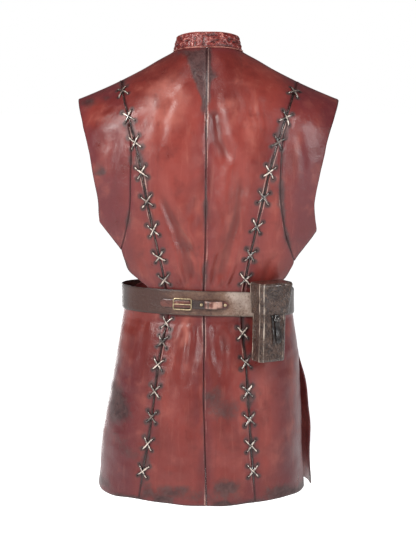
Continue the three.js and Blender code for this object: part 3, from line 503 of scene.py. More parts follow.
def vest_leather(name, dark, red, paler):
    """Red-brown oiled leather: cloudy streaked dye, grey-black grime, rubbed edges with painted highlights,
    painted shade in folds, seam grooves and toward the sides, painted sheen in spots, grain.
    """
    leather = Finish(name)
    at = leather.place()
    wide = leather.noise(at, 6, 4, 0.55, 0.4)
    mottle = leather.noise(at, 24, 5, 0.58, 0.15)
    fine = leather.noise(at, 85, 5, 0.65, 0.5)
    speck = leather.noise(at, 330, 3, 0.6)
    streak = leather.noise(leather.stretched(at, (75, 75, 9)), 1, 5, 0.65, 0.4)
    wear, rub_and_highlight, painted_shade_and_dark_edge, painted_shade_and_sheen = (leather.mark(name) for name in ("wear", "rub_and_highlight", "painted_shade_and_dark_edge", "painted_shade_and_sheen"))
    dye = leather.mix(wide.between(0.32, 0.68), dark, red)
    # Painted shade: darker, purpler red toward the sides, on the skirt and near the edges.
    dye = leather.mix((painted_shade_and_sheen + (mottle - 0.5) * 0.8).between(0.05, 1.0) * 0.9, dye, tint(92, 35, 41))
    # Painted sheen: paler pink where the sheen spots push the mark below zero.
    dye = leather.mix(((mottle - 0.5) * 0.7 - painted_shade_and_sheen).between(0.0, 1.1) * 0.6, dye, tint(188, 112, 98))
    dye = leather.mix(mottle.between(0.5, 0.8) * 0.45, dye, tint(164, 86, 72))
    dye = leather.mix(mottle.between(0.48, 0.24) * 0.55, dye, tint(82, 26, 26))
    dye = leather.mix(streak.between(0.54, 0.74) * 0.16, dye, tint(180, 112, 96))
    dye = leather.mix(streak.between(0.46, 0.28) * 0.3, dye, tint(84, 28, 28))
    grime = (wear + (mottle - 0.5) * 1.1 + (fine - 0.5) * 0.9).between(0.38, 1.0)
    dirt = leather.mix(fine.between(0.35, 0.65), tint(38, 25, 26), tint(76, 53, 52))
    dye = leather.mix(grime * 0.85, dye, dirt)
    # Painted shade: near-black red where the leather sinks into folds, crinkles and seam grooves.
    dye = leather.mix(painted_shade_and_dark_edge.between(0.05, 0.9) * 0.75, dye, tint(46, 14, 15))
    # Pale colour: rubbed edges, and painted highlights on the turned lips and the collar's crinkle ridges.
    dye = leather.mix((rub_and_highlight + (speck - 0.5) * 0.5).between(0.35, 0.9) * 0.7, dye, paler)
    cells = leather.node("ShaderNodeTexVoronoi", {"Vector": at, "Scale": 480.0}, feature="DISTANCE_TO_EDGE")
    grain = cells.between(0.0, 0.22) * 0.6 + speck * 0.5
    skin = leather.bump(grain, 0.00018, 0.6)
    skin = leather.bump(fine * (wear + 0.6), 0.0009, 0.7, skin)
    skin = leather.bump(mottle, 0.0012, 0.35, skin)
    gloss = 0.35 + (mottle - 0.5) * 0.4 + grime * 0.1 - rub_and_highlight * 0.05
    return leather.surface(Base_Color=dye, Roughness=gloss, Normal=skin, Specular_IOR_Level=0.5)


LEATHER = vest_leather("vest leather", tint(102, 34, 29), tint(134, 54, 46), tint(196, 160, 148))
# Grime on the back: x, z, half width, half height, slant, strength.
SMUDGES = [
    (10, -18, 24, 30, 0, 1.2), (9, -48, 15, 26, -0.1, 1.1), (5, -80, 8, 30, 0, 0.9),
    (40, -6, 26, 9, 0.3, 0.8), (-5, -30, 5, 60, 0, 0.7), (3, -150, 5, 60, 0, 0.4),
    (-4, -250, 6, 70, 0, 0.4), (6, -390, 9, 48, 0, 0.9), (-6, -612, 18, 30, 0.2, 0.7),
    (-44, -640, 22, 26, 0.3, 0.45), (-84, -606, 22, 22, 0, 0.5), (-112, -640, 26, 16, 0.2, 0.35),
    (168, -640, 26, 44, 0.2, 0.8), (150, -715, 30, 24, -0.2, 0.6), (182, -590, 14, 40, 0, 0.5),
    (60, -782, 60, 18, -0.1, 0.9), (-34, -776, 32, 28, 0, 0.9), (-110, -780, 24, 18, 0, 0.6),
    (-24, -640, 22, 34, 0, 0.5), (150, -650, 30, 34, 0.2, 0.5), (120, -740, 20, 30, 0, 0.4),
    (160, -798, 26, 14, 0, 0.4), (190, -205, 18, 14, 0.3, 0.9), (212, -92, 24, 10, -0.3, 0.9),
    (176, -80, 16, 10, 0, 0.7), (168, -150, 12, 12, 0, 0.5), (160, -272, 14, 22, 0.4, 0.5),
    (170, -316, 20, 12, 0.4, 0.6), (-170, -330, 20, 16, 0, 0.5), (-210, -100, 18, 8, 0.2, 0.4),
    (-190, -190, 10, 20, 0, 0.25), (112, -108, 10, 10, 0, 0.4), (64, -136, 14, 5, 0.2, 0.3),
    (-60, -196, 20, 26, 0, 0.3), (30, -520, 16, 40, 0, 0.25), (-118, -505, 30, 26, 0, 0.35),
    (-152, -560, 14, 40, 0, 0.3), (96, -70, 20, 8, -0.4, 0.35),
]
# Painted sheen: paler, pinker spots where highlights fall on the back. The same columns.
SHEEN_SPOTS = [
    (75, -92, 60, 56, 0.2, 0.8), (194, -112, 24, 20, 0.3, 1.3), (178, -175, 16, 40, 0, 0.5),
    (-32, -86, 26, 12, 0.2, 0.7), (-152, -160, 14, 50, 0.1, 0.5), (-190, -130, 20, 40, 0, 0.4),
    (-78, -140, 13, 60, 0, 0.6), (32, -345, 11, 50, -0.3, 0.9), (42, -505, 9, 36, 0.1, 1.1),
    (14, -600, 5, 90, 0, 0.9), (152, -520, 20, 45, 0.2, 1.0), (-98, -650, 9, 66, 0, 0.7),
    (-64, -585, 7, 76, 0, 0.8), (-40, -300, 10, 60, 0.2, 0.6), (100, -300, 10, 60, 0.2, 0.5),
    (-150, -600, 10, 80, 0, 0.6), (68, -560, 8, 70, 0.1, 0.6), (12, -300, 6, 90, 0, 0.5),
    (-112, -250, 9, 60, -0.2, 0.5), (-8, -560, 4, 60, 0, 0.4),
]


def smudged(x, z, spots):
    out = np.zeros(np.shape(x))
    wx = x + 7 * clouds(x, z, 21, 11)
    wz = z + 7 * clouds(x, z, 23, 12)
    for sx, sz, w, h, slant, much in spots:
        dx, dz = wx - sx, wz - sz
        dx, dz = dx + slant * dz, dz
        out += much * np.exp(-((dx / w) ** 2) - (dz / h) ** 2)
    return out


# Thong crosses: height of each on the left and right laced seam, above and below the belt.
CROSSES = {
    ("upper", 1): [-71, -113, -158, -210, -261, -313, -361, -404],
    ("upper", -1): [-72, -115, -158, -209, -255, -307, -358, -403],
    ("skirt", 1): [-483, -516, -557, -604, -651, -700, -750],
    ("skirt", -1): [-500, -552, -604, -654, -702, -748],
}


def by_seam(side, z, out, up):
    """x and z of a point off the laced seam: out sideways and up along it, measured on the leather."""
    z = np.asarray(z, float)
    start = place(1, side * laced_x(side, z), z)
    origin, normal = bare(1, *start), outward(1, *start)
    ahead = bare(1, *place(1, side * laced_x(side, z + 4), z + 4)) - origin
    flat = ahead - normal * np.sum(ahead * normal, -1, keepdims=True)
    run = flat / np.linalg.norm(flat, axis=-1, keepdims=True)
    over = -side * np.cross(run, normal)
    goal = origin + over * side * np.asarray(out)[..., None] + run * np.asarray(up)[..., None]
    angle, fall = start
    for _ in range(8):
        here = bare(1, angle, fall)
        e = 1e-3
        ta = (bare(1, angle + e, fall) - here) / e
        tf = (bare(1, angle, fall + e) - here) / e
        miss = goal - here
        aa, ff, af = np.sum(ta * ta, -1), np.sum(tf * tf, -1), np.sum(ta * tf, -1)
        am, fm = np.sum(ta * miss, -1), np.sum(tf * miss, -1)
        det = aa * ff - af * af
        angle, fall = angle + (am * ff - fm * af) / det, fall + (fm * aa - am * af) / det
    spot = bare(1, angle, fall)
    return spot[..., 0], spot[..., 2]


CROSS_ACROSS, CROSS_ALONG, BAR_HALF = 9.3, 10.8, 14.4
HOLE_OUT, HOLE_UP = CROSS_ACROSS * np.array([-1, 1, -1, 1]), CROSS_ALONG * np.array([-1, -1, 1, 1])
HOLES = np.concatenate([
    np.stack(by_seam(side, [z] * 4, HOLE_OUT, HOLE_UP), -1)
    for (_, side), heights in CROSSES.items() for z in heights
])
HOLE_SPOTS = on_back(HOLES[:, 0], HOLES[:, 1])[0]


def back_piece(name, x, z, seams):
    """One panel of the back. seams says, for its near, far, top and foot edges, how far grime spreads from
    the edge in millimetres, how strong it is, and how high the turned edge stands."""
    plain, normal = on_back(x, z)
    wear = smudged(x, z, SMUDGES)
    rub_and_highlight = np.zeros(x.shape)
    lip = np.zeros(x.shape)
    # Painted shade, strongest where the back sinks deepest into a fold.
    painted_shade_and_dark_edge = np.clip(-soft_form(x, z) / 8 - 0.08, 0, 0.5)
    # Painted shade: darker toward the sides and below the belt, and near every edge.
    painted_shade_and_sheen = 0.85 * ease(100, 170, np.abs(x)) + 0.3 * ease(-470, -540, z)
    patchy = 0.72 + 0.75 * clouds(x, z, 27, 21)
    paleness = 0.7 + 0.45 * clouds(x, z, 19, 22)
    for distance, (spread, much, stand) in zip(edge_distances(plain), seams):
        wear = np.maximum(wear, much * np.exp(-distance / spread) * patchy)
        lip += stand * bump_at(distance, 2.6, 1.7) - 0.9 * bump_at(distance, 0, 1.1) * (stand > 0)
        # Pale line on each turned lip: rubbed wear and a painted highlight.
        rub_and_highlight = np.maximum(rub_and_highlight, min(stand * 1.3, 1) * paleness * bump_at(distance, 2.9, 0.9))
        # Painted shade in the groove at each turned seam edge.
        painted_shade_and_dark_edge = np.maximum(painted_shade_and_dark_edge, (stand > 0.3) * bump_at(distance, 0, 1.5))
        # Painted shade near every edge.
        painted_shade_and_sheen = np.maximum(painted_shade_and_sheen, 0.8 * np.exp(-distance / 24))
    reach = np.full(x.shape, 1e9)
    for spot in HOLE_SPOTS:
        reach = np.minimum(reach, np.linalg.norm(plain - spot, axis=-1))
    wear = np.maximum(wear, 1.3 * bump_at(reach, 0, 6.5))
    pucker = 0.6 * bump_at(reach, 5.5, 2.4) - 0.4 * bump_at(reach, 0, 3)
    # The sheen spots are taken off the painted shade mark, which paints them paler.
    marks = {"wear": wear, "rub_and_highlight": rub_and_highlight, "painted_shade_and_dark_edge": painted_shade_and_dark_edge, "painted_shade_and_sheen": painted_shade_and_sheen - smudged(x, z, SHEEN_SPOTS)}
    piece = wall(name, plain + normal * (lip + pucker)[..., None], plain - normal * WALL, marks, LEATHER)
    settle(piece, "vest_leather", name)


def neck_z(face, x):
    part = np.minimum(np.abs(x) / NECK_HALF, 1)
    return 8 * (1 - part**3) if face > 0 else -60 * (1 - part**2.2)


def top_z(face, x):
    return np.where(np.abs(x) < NECK_HALF, neck_z(face, x), shoulder_z(x))


def laced_top(side):
    z = -60.0
    for _ in range(20):
        z = float(shoulder_z(laced_x(side, z)))
    return z


def laced_gap(z):
    """Half the gap in a laced seam, which closes below the last cross."""
    return 0.06 + 0.6 * ease(-778, -752, z)


BACK_LEVELS = [
    -56, -64, -76, -92, -112, -136, -162, -190, -220, -250, -280, -310, -340, -366, -388, -404, -412, -419,
    -427, -446, -466, -480, -487, -497, -515, -545, -580, -620, -660, -702, -750, HEM_Z,
]
BACK_PIECES = [(1, "back_left", (0.19, 0.85), 0.095), (-1, "back_right", (0.19, 0.85), 0.091)]
for side, name, flat, area in BACK_PIECES:
    def near(z, side=side):
        return side * centre_x(z) + SEWN_GAP

    def far(z, side=side):
        return laced_x(side, z) - laced_gap(z)

    last = float(far(laced_top(side)))
    top = [float(near(8)), 16, 31, 45, 56, 62, 62 + (last - 62) * 0.33, 62 + (last - 62) * 0.67, last]
    x, z = panel_grid(1, side, BACK_LEVELS, top, lambda x: top_z(1, x), LEVEL_ROWS_Z, near, far, 3.1)
    back_piece(name, x, z, [(5, 0.9, 0.9), (10, 1.0, 0.7), (6, 0.5, 0.0), (25, 1.6, 0.35)])

# ---------------------------------------------------------------- wings
# A cap over each shoulder blade, one piece that hangs past the shoulder's point to the foot of the armhole.
# It is laced to the centre back at the top and sewn to the side back below.
WING_SEAM = [
    (-124, 141, 139), (-154, 136, 132), (-190, 135.5, 129), (-224, 137, 128), (-255, 137.5, 128.5),
    (-285, 140, 132), (-325, 148.5, 139), (-352, 156, 148), (-374, 158, 156),
]
# Armhole edge of the wings: part of the way down, x and z on the left, x and z on the right.
WING_EDGE = [
    (0, 236, -86, 238, -87), (0.14, 229, -115, 228, -116), (0.38, 215, -168, 212, -163),
    (0.6, 205, -217, 201, -212), (0.82, 198, -262, 191, -268), (1, 195, -302, 196, -318),
]
WING_FOOT_Z = {1: -352, -1: -374}


def wing_x(side, z):
    return along(WING_SEAM, 1 if side > 0 else 2, z)


WING_PIECES = [(1, "wing_left", (0.125, 0.34), 0.026), (-1, "wing_right", (0.13, 0.36), 0.028)]
for side, name, flat, area in WING_PIECES:
    foot_z = WING_FOOT_Z[side]
    column = 1 if side > 0 else 3

    def near(z, side=side):
        laced = laced_x(side, z) + laced_gap(z)
        return np.where(z > SIDE_POINT_Z, laced, np.maximum(wing_x(side, z) + SEWN_GAP, laced))

    v = (np.linspace(0, 1, 97) ** 1.3)[:, None]
    u = np.linspace(0, 1, 37)[None, :]
    start = float(near(laced_top(side)))
    top_x = start + (WING_EDGE[0][column] - start) * u
    top_height = shoulder_z(top_x)
    inner_z = float(shoulder_z(start)) + (foot_z - float(shoulder_z(start))) * v
    inner_x = near(inner_z)
    outer_x, outer_z = along(WING_EDGE, column, v), along(WING_EDGE, column + 1, v)
    corner_x, corner_z = WING_EDGE[-1][column], WING_EDGE[-1][column + 1]
    first_x = float(near(foot_z))
    foot_row_x, foot_row_z = first_x + (corner_x - first_x) * u, foot_z + (corner_z - foot_z) * u

    def blend(top_row, foot_row, near_column, far_column):
        ends = (1 - u) * (1 - v) * top_row[0, 0] + u * (1 - v) * top_row[0, -1]
        ends = ends + (1 - u) * v * foot_row[0, 0] + u * v * foot_row[0, -1]
        return top_row * (1 - v) + foot_row * v + near_column * (1 - u) + far_column * u - ends

    x = side * blend(top_x, foot_row_x, inner_x, outer_x)
    z = blend(top_height, foot_row_z, inner_z, outer_z)
    z[0] = shoulder_z(x[0])
    back_piece(name, x, z, [(10, 1.0, 0.7), (7, 0.8, 0.35), (6, 0.4, 0.0), (7, 0.8, 0.35)])

# ---------------------------------------------------------------- side backs
# A narrow piece that starts as a point between the laced seam and the wing seam, runs under the belt and
# widens into the skirt. Its outer edge is free below the hip, and the right one hangs open.
SIDE_EDGE = [
    (-352, 156, 148), (-374, 150, 156), (-392, 143, 148), (-410, 122, 136), (-420, 110, 118),
    (-428, 117, 119), (-437, 140, 140), (-446, 154, 154), (-456, 155.9, 155.9),
]
SIDE_PIECES = [(1, "side_back_left", (0.17, 0.68), 0.07), (-1, "side_back_right", (0.18, 0.69), 0.074)]
for side, name, flat, area in SIDE_PIECES:
    def near(z, side=side):
        return laced_x(side, z) + laced_gap(z)

    def far(z, side=side):
        armhole = along(SIDE_EDGE, 1 if side > 0 else 2, z) - SEWN_GAP
        opened = ease(VENT_TOP_Z, -680, z) if side < 0 else 0.0
        vent = half_width(1, side, z) * np.sin(math.pi / 2 + (1.43 - math.pi / 2) * opened)
        above = wing_x(side, z) - SEWN_GAP
        return np.where(z > WING_FOOT_Z[side], above, np.where(z > ARMHOLE_FOOT_Z, armhole, vent))

    start = SIDE_POINT_Z
    while far(start) - near(start) < 4:
        start -= 1
    levels = [start + (-392 - start) * i / 11 for i in range(11)]
    levels += [-392, -404, -412, -419, -426, -432, -439, -446, -453, -462, -480, -487, -497, -515]
    levels += [-515 + (HEM_Z + 515) * i / 8 for i in range(1, 9)]
    top = np.linspace(near(start), far(start), 7).tolist()
    x, z = panel_grid(1, side, levels, top, lambda x: np.full(np.shape(x), start), start - 1, near, far, 3.1)
    back_piece(name, x, z, [(10, 1.05, 0.7), (8, 0.9, 0.5), (5, 0.4, 0.0), (25, 1.4, 0.35)])

# ---------------------------------------------------------------- fronts
# One plain piece each side, from the shoulder seam to the hem, the left lapping over the right. They are
# cut away further at the armholes, and their side edges hang free below the hip.
FRONT_EDGE = [
    (-86, 236), (-118, 222), (-165, 205), (-220, 190), (-275, 180), (-325, 168), (-368, 150), (-400, 130),
    (-420, 114), (-430, 120), (-440, 144), (-447, 153), (-456, 155.9),
]
FRONT_LEVELS = [
    -86, -94, -106, -124, -148, -178, -212, -248, -284, -318, -348, -373, -393, -405, -413, -420, -427,
    -434, -441, -449, -459, -470, -480, -487, -497, -515, -545, -585, -630, -680, -740, HEM_Z,
]
# Front folds: depth, width, line. Mirrored for the other side with a little less depth.
FRONT_FOLDS = [
    (4.5, 12, [(60, -424), (74, -370), (88, -315), (96, -270)]),
    (3.5, 10, [(28, -424), (34, -375), (44, -330)]),
    (3.5, 12, [(100, -424), (118, -385), (134, -350)]),
    (4, 13, [(54, -482), (62, -540), (68, -620)]),
    (3, 12, [(100, -482), (112, -540), (122, -610)]),
    (2.5, 12, [(26, -482), (30, -540), (30, -600)]),
    (3, 16, [(110, -110), (120, -150), (118, -200)]),
    (2, 9, [(150, -120), (158, -160), (160, -210)]),
]


def lap_rise(x):
    return (WALL + 0.45) * ease(62, 24, x)


def front_form(side, x, z):
    """How far a front stands out over the smooth form, in its chest, folds and small unevenness."""
    sway, depth = (0, 1) if side > 0 else (3, 0.8)
    out = 3.5 * np.exp(-(((x - 82) / 50) ** 2) - ((z + 190) / 80) ** 2)
    out = out + creased(x + sway * np.sin(z / 40), z, FRONT_FOLDS, depth, 0.12)
    out = out + clouds(x + 200 * side, z, 41, 31) + 0.4 * clouds(x, z + 90 * side, 16, 33)
    return out * free(z) * ease(18, 46, x) * ease(3, 30, shoulder_z(x) - z)


for side, name in [(1, "front_left"), (-1, "front_right")]:
    def near(z):
        return np.full(np.shape(z), -FRONT_LAP)

    def far(z, side=side):
        return np.where(z > ARMHOLE_FOOT_Z, along(FRONT_EDGE, 1, z), half_width(-1, side, z) - 0.02)

    top = [-FRONT_LAP, 0, 14, 27, 39, 49, 56.5, 62, 94, 128, 164, 200, 236]
    x, z = panel_grid(-1, side, FRONT_LEVELS, top, lambda x: top_z(-1, x), LEVEL_ROWS_Z, near, far, 5)
    across = side * x
    rise = lap_rise(across) if side > 0 else 0.0
    plain, normal = on_front(x, z, rise + front_form(side, across, z))
    distances = edge_distances(plain)
    wear = 0.75 * np.exp(-distances[3] / 14) + 0.5 * np.exp(-distances[1] / 7)
    wear = wear + 0.6 * np.exp(-distances[0] / 8)
    wear = wear * (0.75 + 0.6 * clouds(x, z, 33, 41)) + 0.45 * np.maximum(clouds(x, z, 60, 43) - 0.35, 0) * 2
    lip = 0.5 * bump_at(distances[0], 2.4, 1.7) + 0.4 * bump_at(distances[1], 2.4, 1.7)
    # Painted shade in the folds and toward the side edge; the pale line on each edge lip is rubbed wear and a
    # painted highlight.
    marks = {
        "wear": wear,
        "rub_and_highlight": 0.9 * np.maximum(bump_at(distances[0], 2.2, 1.3), bump_at(distances[1], 2.2, 1.3)),
        "painted_shade_and_dark_edge": np.clip(-front_form(side, across, z) / 5, 0, 1),
        "painted_shade_and_sheen": 0.35 + 0.4 * np.exp(-distances[1] / 30),
    }
    piece = wall(name, plain + normal * lip[..., None], plain - normal * WALL, marks, LEATHER)
    settle(piece, "vest_leather", name)

# ---------------------------------------------------------------- stand collar
# One strip of the same leather, crinkled by wear, that stands on the neck edge and leans in. A rolled welt
# covers the seam at its foot, and it is open in front.
COLLAR_HIGH, COLLAR_THICK, COLLAR_LEAN, COLLAR_SEAT = 27.0, 3.0, 0.24, 0.9
COLLAR_COUNT, COLLAR_STEP = 330, 1.14


def neck_edge():
    """The neck edge from the left front round the back to the right front."""
    turn = np.radians(np.linspace(7, 90, 60))
    front_x = NECK_HALF * np.sin(turn)
    back_x = NECK_HALF * np.cos(np.linspace(0, math.pi, 121))[1:-1]
    left = on_front(front_x, neck_z(-1, front_x), lap_rise(front_x))[0]
    right = on_front(-front_x[::-1], neck_z(-1, front_x[::-1]))[0]
    return np.concatenate([left, on_back(back_x, neck_z(1, back_x), fine=False)[0], right])


def even(points, count):
    """The same line through count points at even distances."""
    far = np.concatenate([[0], np.cumsum(np.linalg.norm(np.diff(points, axis=0), axis=-1))])
    at = np.linspace(0, far[-1], count)
    return np.stack([np.interp(at, far, points[:, k]) for k in range(3)], -1)


seat = even(neck_edge(), COLLAR_COUNT)
away = seat * (1, 1, 0)
away = (away / np.linalg.norm(away, axis=-1, keepdims=True))[:, None, :]
up = np.linspace(0, 1, 27)[None, :, None]
run = np.arange(COLLAR_COUNT)[:, None] * COLLAR_STEP
height = COLLAR_HIGH * up[..., 0]
ridge = 1 - 2.2 * np.abs(clouds(run + 2 * clouds(run, height, 7, 57), height * 1.7, 7, 51))
ridge = 0.6 * ridge + 0.4 * (1 - 2.4 * np.abs(clouds(run, height * 1.3, 4.2, 52)))
held = ease(0, 0.12, up[..., 0]) * ease(1.02, 0.9, up[..., 0])
soft_edge = 0.9 * ease(0.9, 1.0, up[..., 0]) ** 2 + 0.6 * ease(0.08, 0, up[..., 0])
outside = (1.5 * (ridge - 0.3) * held + 0.5 * clouds(run, height, 30, 53) - soft_edge)[..., None]
lean = COLLAR_LEAN * COLLAR_HIGH * up**1.4
lift = np.array([0, 0, 1.0]) * (COLLAR_SEAT + COLLAR_HIGH * up)
outer = seat[:, None, :] + away * (outside - lean) + lift
inner = seat[:, None, :] - away * (lean + COLLAR_THICK - 0.5 * soft_edge[..., None]) + lift
wear = 0.1 + 0.5 * ease(0.25, 0.0, up[..., 0]) + 0.3 * clouds(run, height, 26, 54)
# Pale on the crinkle ridges as a painted highlight, and rubbed pale at the top edge.
rub_and_highlight = np.maximum(0.8 * ease(0.9, 1.0, up[..., 0]), ease(0.35, 0.95, ridge) * held)
COLLAR_FINISH = vest_leather(
    "crinkled collar leather", tint(104, 32, 28), tint(138, 52, 44), tint(206, 134, 122))
# Painted shade in the crinkle hollows.
marks = {"wear": np.clip(wear, 0, 1), "rub_and_highlight": rub_and_highlight, "painted_shade_and_dark_edge": ease(0.35, -0.5, ridge), "painted_shade_and_sheen": 0.3}
collar = wall("collar", outer, inner, marks, COLLAR_FINISH)
settle(collar, "vest_leather", "collar")


def ringed(name, rings, tips, rub_and_highlight, material, sharp=180):
    """A piece made of rings of points that closes on a tip at each end, or on itself where it has no tips."""
    index = np.arange(rings.shape[0] * rings.shape[1]).reshape(rings.shape[:2])
    index = np.concatenate([index, index[:, :1]], 1)
    points = rings.reshape(-1, 3)
    if tips is None:
        faces = grid_faces(np.concatenate([index, index[:1]])).tolist()
    else:
        faces = grid_faces(index).tolist()
        faces += [(len(points), b, a) for a, b in zip(index[0], index[0, 1:])]
        faces += [(len(points) + 1, a, b) for a, b in zip(index[-1], index[-1, 1:])]
        points = np.concatenate([points, tips])
        rub_and_highlight = np.concatenate([rub_and_highlight, [0, 0]])
    return solid(name, points, faces, material, {"rub_and_highlight": rub_and_highlight}, sharp)


def rope(name, path, radius, material, sides=8, closed=False, squash=1.0, facing=None):
    """A round or flattened strand along a path in millimetres, with rounded ends."""
    path = np.asarray(path, float)
    step = np.roll(path, -1, 0) - np.roll(path, 1, 0) if closed else np.gradient(path, axis=0)
    step /= np.linalg.norm(step, axis=-1, keepdims=True)
    if facing is None:
        facing = np.zeros_like(path)
        lead = np.cross(step[0], (0.3, 0.2, 1.0))
        for i, t in enumerate(step):
            lead = lead - t * np.dot(lead, t)
            lead /= np.linalg.norm(lead)
            facing[i] = lead
    facing = facing - step * np.sum(facing * step, -1, keepdims=True)
    facing /= np.linalg.norm(facing, axis=-1, keepdims=True)
    beside = np.cross(step, facing)
    radius = np.broadcast_to(radius, len(path)).astype(float).copy()
    turn = np.linspace(0, 2 * math.pi, sides, endpoint=False)[None, :, None]
    rings = path[:, None] + radius[:, None, None] * (
        squash * np.sin(turn) * facing[:, None] + np.cos(turn) * beside[:, None])
    # Painted highlight mark: 1 on the side the strand faces, which thong finishes paint pale.
    paleness = np.tile(np.sin(turn[0, :, 0]), len(path))
    tips = None if closed else [path[0] - step[0] * radius[0] * 0.6, path[-1] + step[-1] * radius[-1] * 0.6]
    return ringed(name, rings, tips, paleness, material)


def welt_leather():
    """The same leather rolled over a cord: pale and dark in cloudy patches."""
    leather = Finish("rolled welt leather")
    at = leather.place()
    patch = leather.noise(at, 60, 4, 0.6, 0.5)
    dye = leather.mix(patch.between(0.35, 0.65), tint(104, 42, 36), tint(176, 112, 98))
    return leather.surface(Base_Color=dye, Roughness=0.45, Normal=leather.bump(patch, 0.0006, 0.5))


foot = even(neck_edge(), 240)
outside = foot * (1, 1, 0)
outside /= np.linalg.norm(outside, axis=-1, keepdims=True)
welt = rope("collar_welt", foot + outside * 0.9 + (0, 0, 0.8), 1.15, welt_leather(), 10)
settle(welt, "vest_leather")

# ---------------------------------------------------------------- lacing
# A long dark thong is drawn from hole to hole in crosses that lie on the leather, and runs along the seam
# between them. Holes are punched, and the thong's ends go down into them.
def thong_leather(name, dark, light, pale):
    """Waxed black-brown thong, painted pale as a highlight on the side where it stands highest."""
    leather = Finish(name)
    at = leather.place()
    patch = leather.noise(at, 130, 4, 0.6)
    here = leather.noise(at, 20, 2, 0.5).between(0.38, 0.56)
    dye = leather.mix(patch.between(0.42, 0.66), dark, light)
    # Painted highlight on the strand's facing side, broken up by patches.
    shine = (leather.mark("rub_and_highlight") + (patch - 0.5) * 1.5).between(0.72, 1.05)
    dye = leather.mix(shine * (here * 0.8 + 0.2) * pale, dye, tint(226, 208, 194))
    skin = leather.bump(leather.noise(at, 500, 3), 0.0003, 0.6)
    return leather.surface(Base_Color=dye, Roughness=0.26, Normal=skin, Coat_Weight=0.9, Coat_Roughness=0.12)


THONG = thong_leather("thong leather", tint(26, 18, 17), tint(74, 52, 46), 0.9)


def bar_shape():
    """One bar of a cross, 28 mm from hole to hole: flattened, its ends narrowed and bent into the holes."""
    part = np.linspace(-1, 1, 17)
    path = np.stack([BAR_HALF * part, 0.35 * np.sin(3 * part), 1.9 - 4.4 * np.abs(part) ** 9], -1)
    facing = np.tile((0.0, 0.0, 1.0), (17, 1))
    wide = np.interp(np.abs(part), [0, 0.6, 1], [2.2, 2.0, 1.3])
    return rope("thong_bar_shape", path, wide, THONG, 10, squash=0.62, facing=facing)


def seam_line(side, z, high):
    x, spot_z = by_seam(side, z, np.zeros(np.shape(z)), np.zeros(np.shape(z)))
    return on_back(x, spot_z, high)


def scatter_tree(shape):
    """Copies one shape onto every point, turned by the point's own rise and heading."""
    tree = bpy.data.node_groups.new("set on points", "GeometryNodeTree")
    tree.is_modifier = True
    tree.interface.new_socket("Points", in_out="INPUT", socket_type="NodeSocketGeometry")
    sizes = tree.interface.new_socket("Size", in_out="INPUT", socket_type="NodeSocketFloat")
    sizes.default_value = 1.0
    spread = tree.interface.new_socket("Uneven", in_out="INPUT", socket_type="NodeSocketFloat")
    skin = tree.interface.new_socket("Finish", in_out="INPUT", socket_type="NodeSocketMaterial")
    tree.interface.new_socket("Made", in_out="OUTPUT", socket_type="NodeSocketGeometry")

    def add(kind, **settings):
        node = tree.nodes.new(kind)
        for key, value in settings.items():
            setattr(node, key, value)
        return node

    given, made = add("NodeGroupInput"), add("NodeGroupOutput")
    source = add("GeometryNodeObjectInfo")
    source.inputs["Object"].default_value = shape
    rise, heading = (add("GeometryNodeInputNamedAttribute", data_type="FLOAT_VECTOR") for _ in range(2))
    rise.inputs["Name"].default_value = "rise"
    heading.inputs["Name"].default_value = "heading"
    upright = add("FunctionNodeAlignRotationToVector", axis="Z")
    turned = add("FunctionNodeAlignRotationToVector", axis="X", pivot_axis="Z")
    chance = add("FunctionNodeRandomValue", data_type="FLOAT")
    chance.inputs["Seed"].default_value = 7
    lowest, highest = add("ShaderNodeMath", operation="SUBTRACT"), add("ShaderNodeMath", operation="ADD")
    onto, real = add("GeometryNodeInstanceOnPoints"), add("GeometryNodeRealizeInstances")
    painted = add("GeometryNodeSetMaterial")
    for giver, out, taker, into in [
        (rise, "Attribute", upright, "Vector"), (upright, "Rotation", turned, "Rotation"),
        (heading, "Attribute", turned, "Vector"), (given, "Size", lowest, 0), (given, "Uneven", lowest, 1),
        (given, "Size", highest, 0), (given, "Uneven", highest, 1), (lowest, 0, chance, 2),
        (highest, 0, chance, 3), (given, "Points", onto, "Points"), (source, "Geometry", onto, "Instance"),
        (turned, "Rotation", onto, "Rotation"), (chance, 1, onto, "Scale"),
        (onto, "Instances", real, "Geometry"), (real, "Geometry", painted, "Geometry"),
        (given, "Finish", painted, "Material"), (painted, "Geometry", made, 0),
    ]:
        tree.links.new(giver.outputs[out], taker.inputs[into])
    return tree, {"Size": sizes.identifier, "Uneven": spread.identifier, "Finish": skin.identifier}


def scatter(name, shape, spots, rises, headings, material, size=1.0, uneven=0.0):
    """A piece made of the shape set on every spot; spots in millimetres."""
    tree, sockets = scatter_tree(shape)
    mesh = bpy.data.meshes.new(name)
    mesh.from_pydata((np.asarray(spots) / 1000).tolist(), [], [])
    for key, value in (("rise", rises), ("heading", headings)):
        data = mesh.attributes.new(key, "FLOAT_VECTOR", "POINT").data
        data.foreach_set("vector", np.asarray(value, np.float32).ravel())
    holder = bpy.data.objects.new(name, mesh)
    scene.collection.objects.link(holder)
    modifier = holder.modifiers.new("set", "NODES")
    modifier.node_group = tree
    modifier[sockets["Size"]] = size
    modifier[sockets["Uneven"]] = uneven
    modifier[sockets["Finish"]] = material
    depsgraph = bpy.context.evaluated_depsgraph_get()
    plain = bpy.data.meshes.new_from_object(holder.evaluated_get(depsgraph))
    holder.modifiers.clear()
    holder.data = plain
    plain.materials.clear()
    plain.materials.append(material)
    plain.polygons.foreach_set("material_index", np.zeros(len(plain.polygons), np.int32))
    return holder


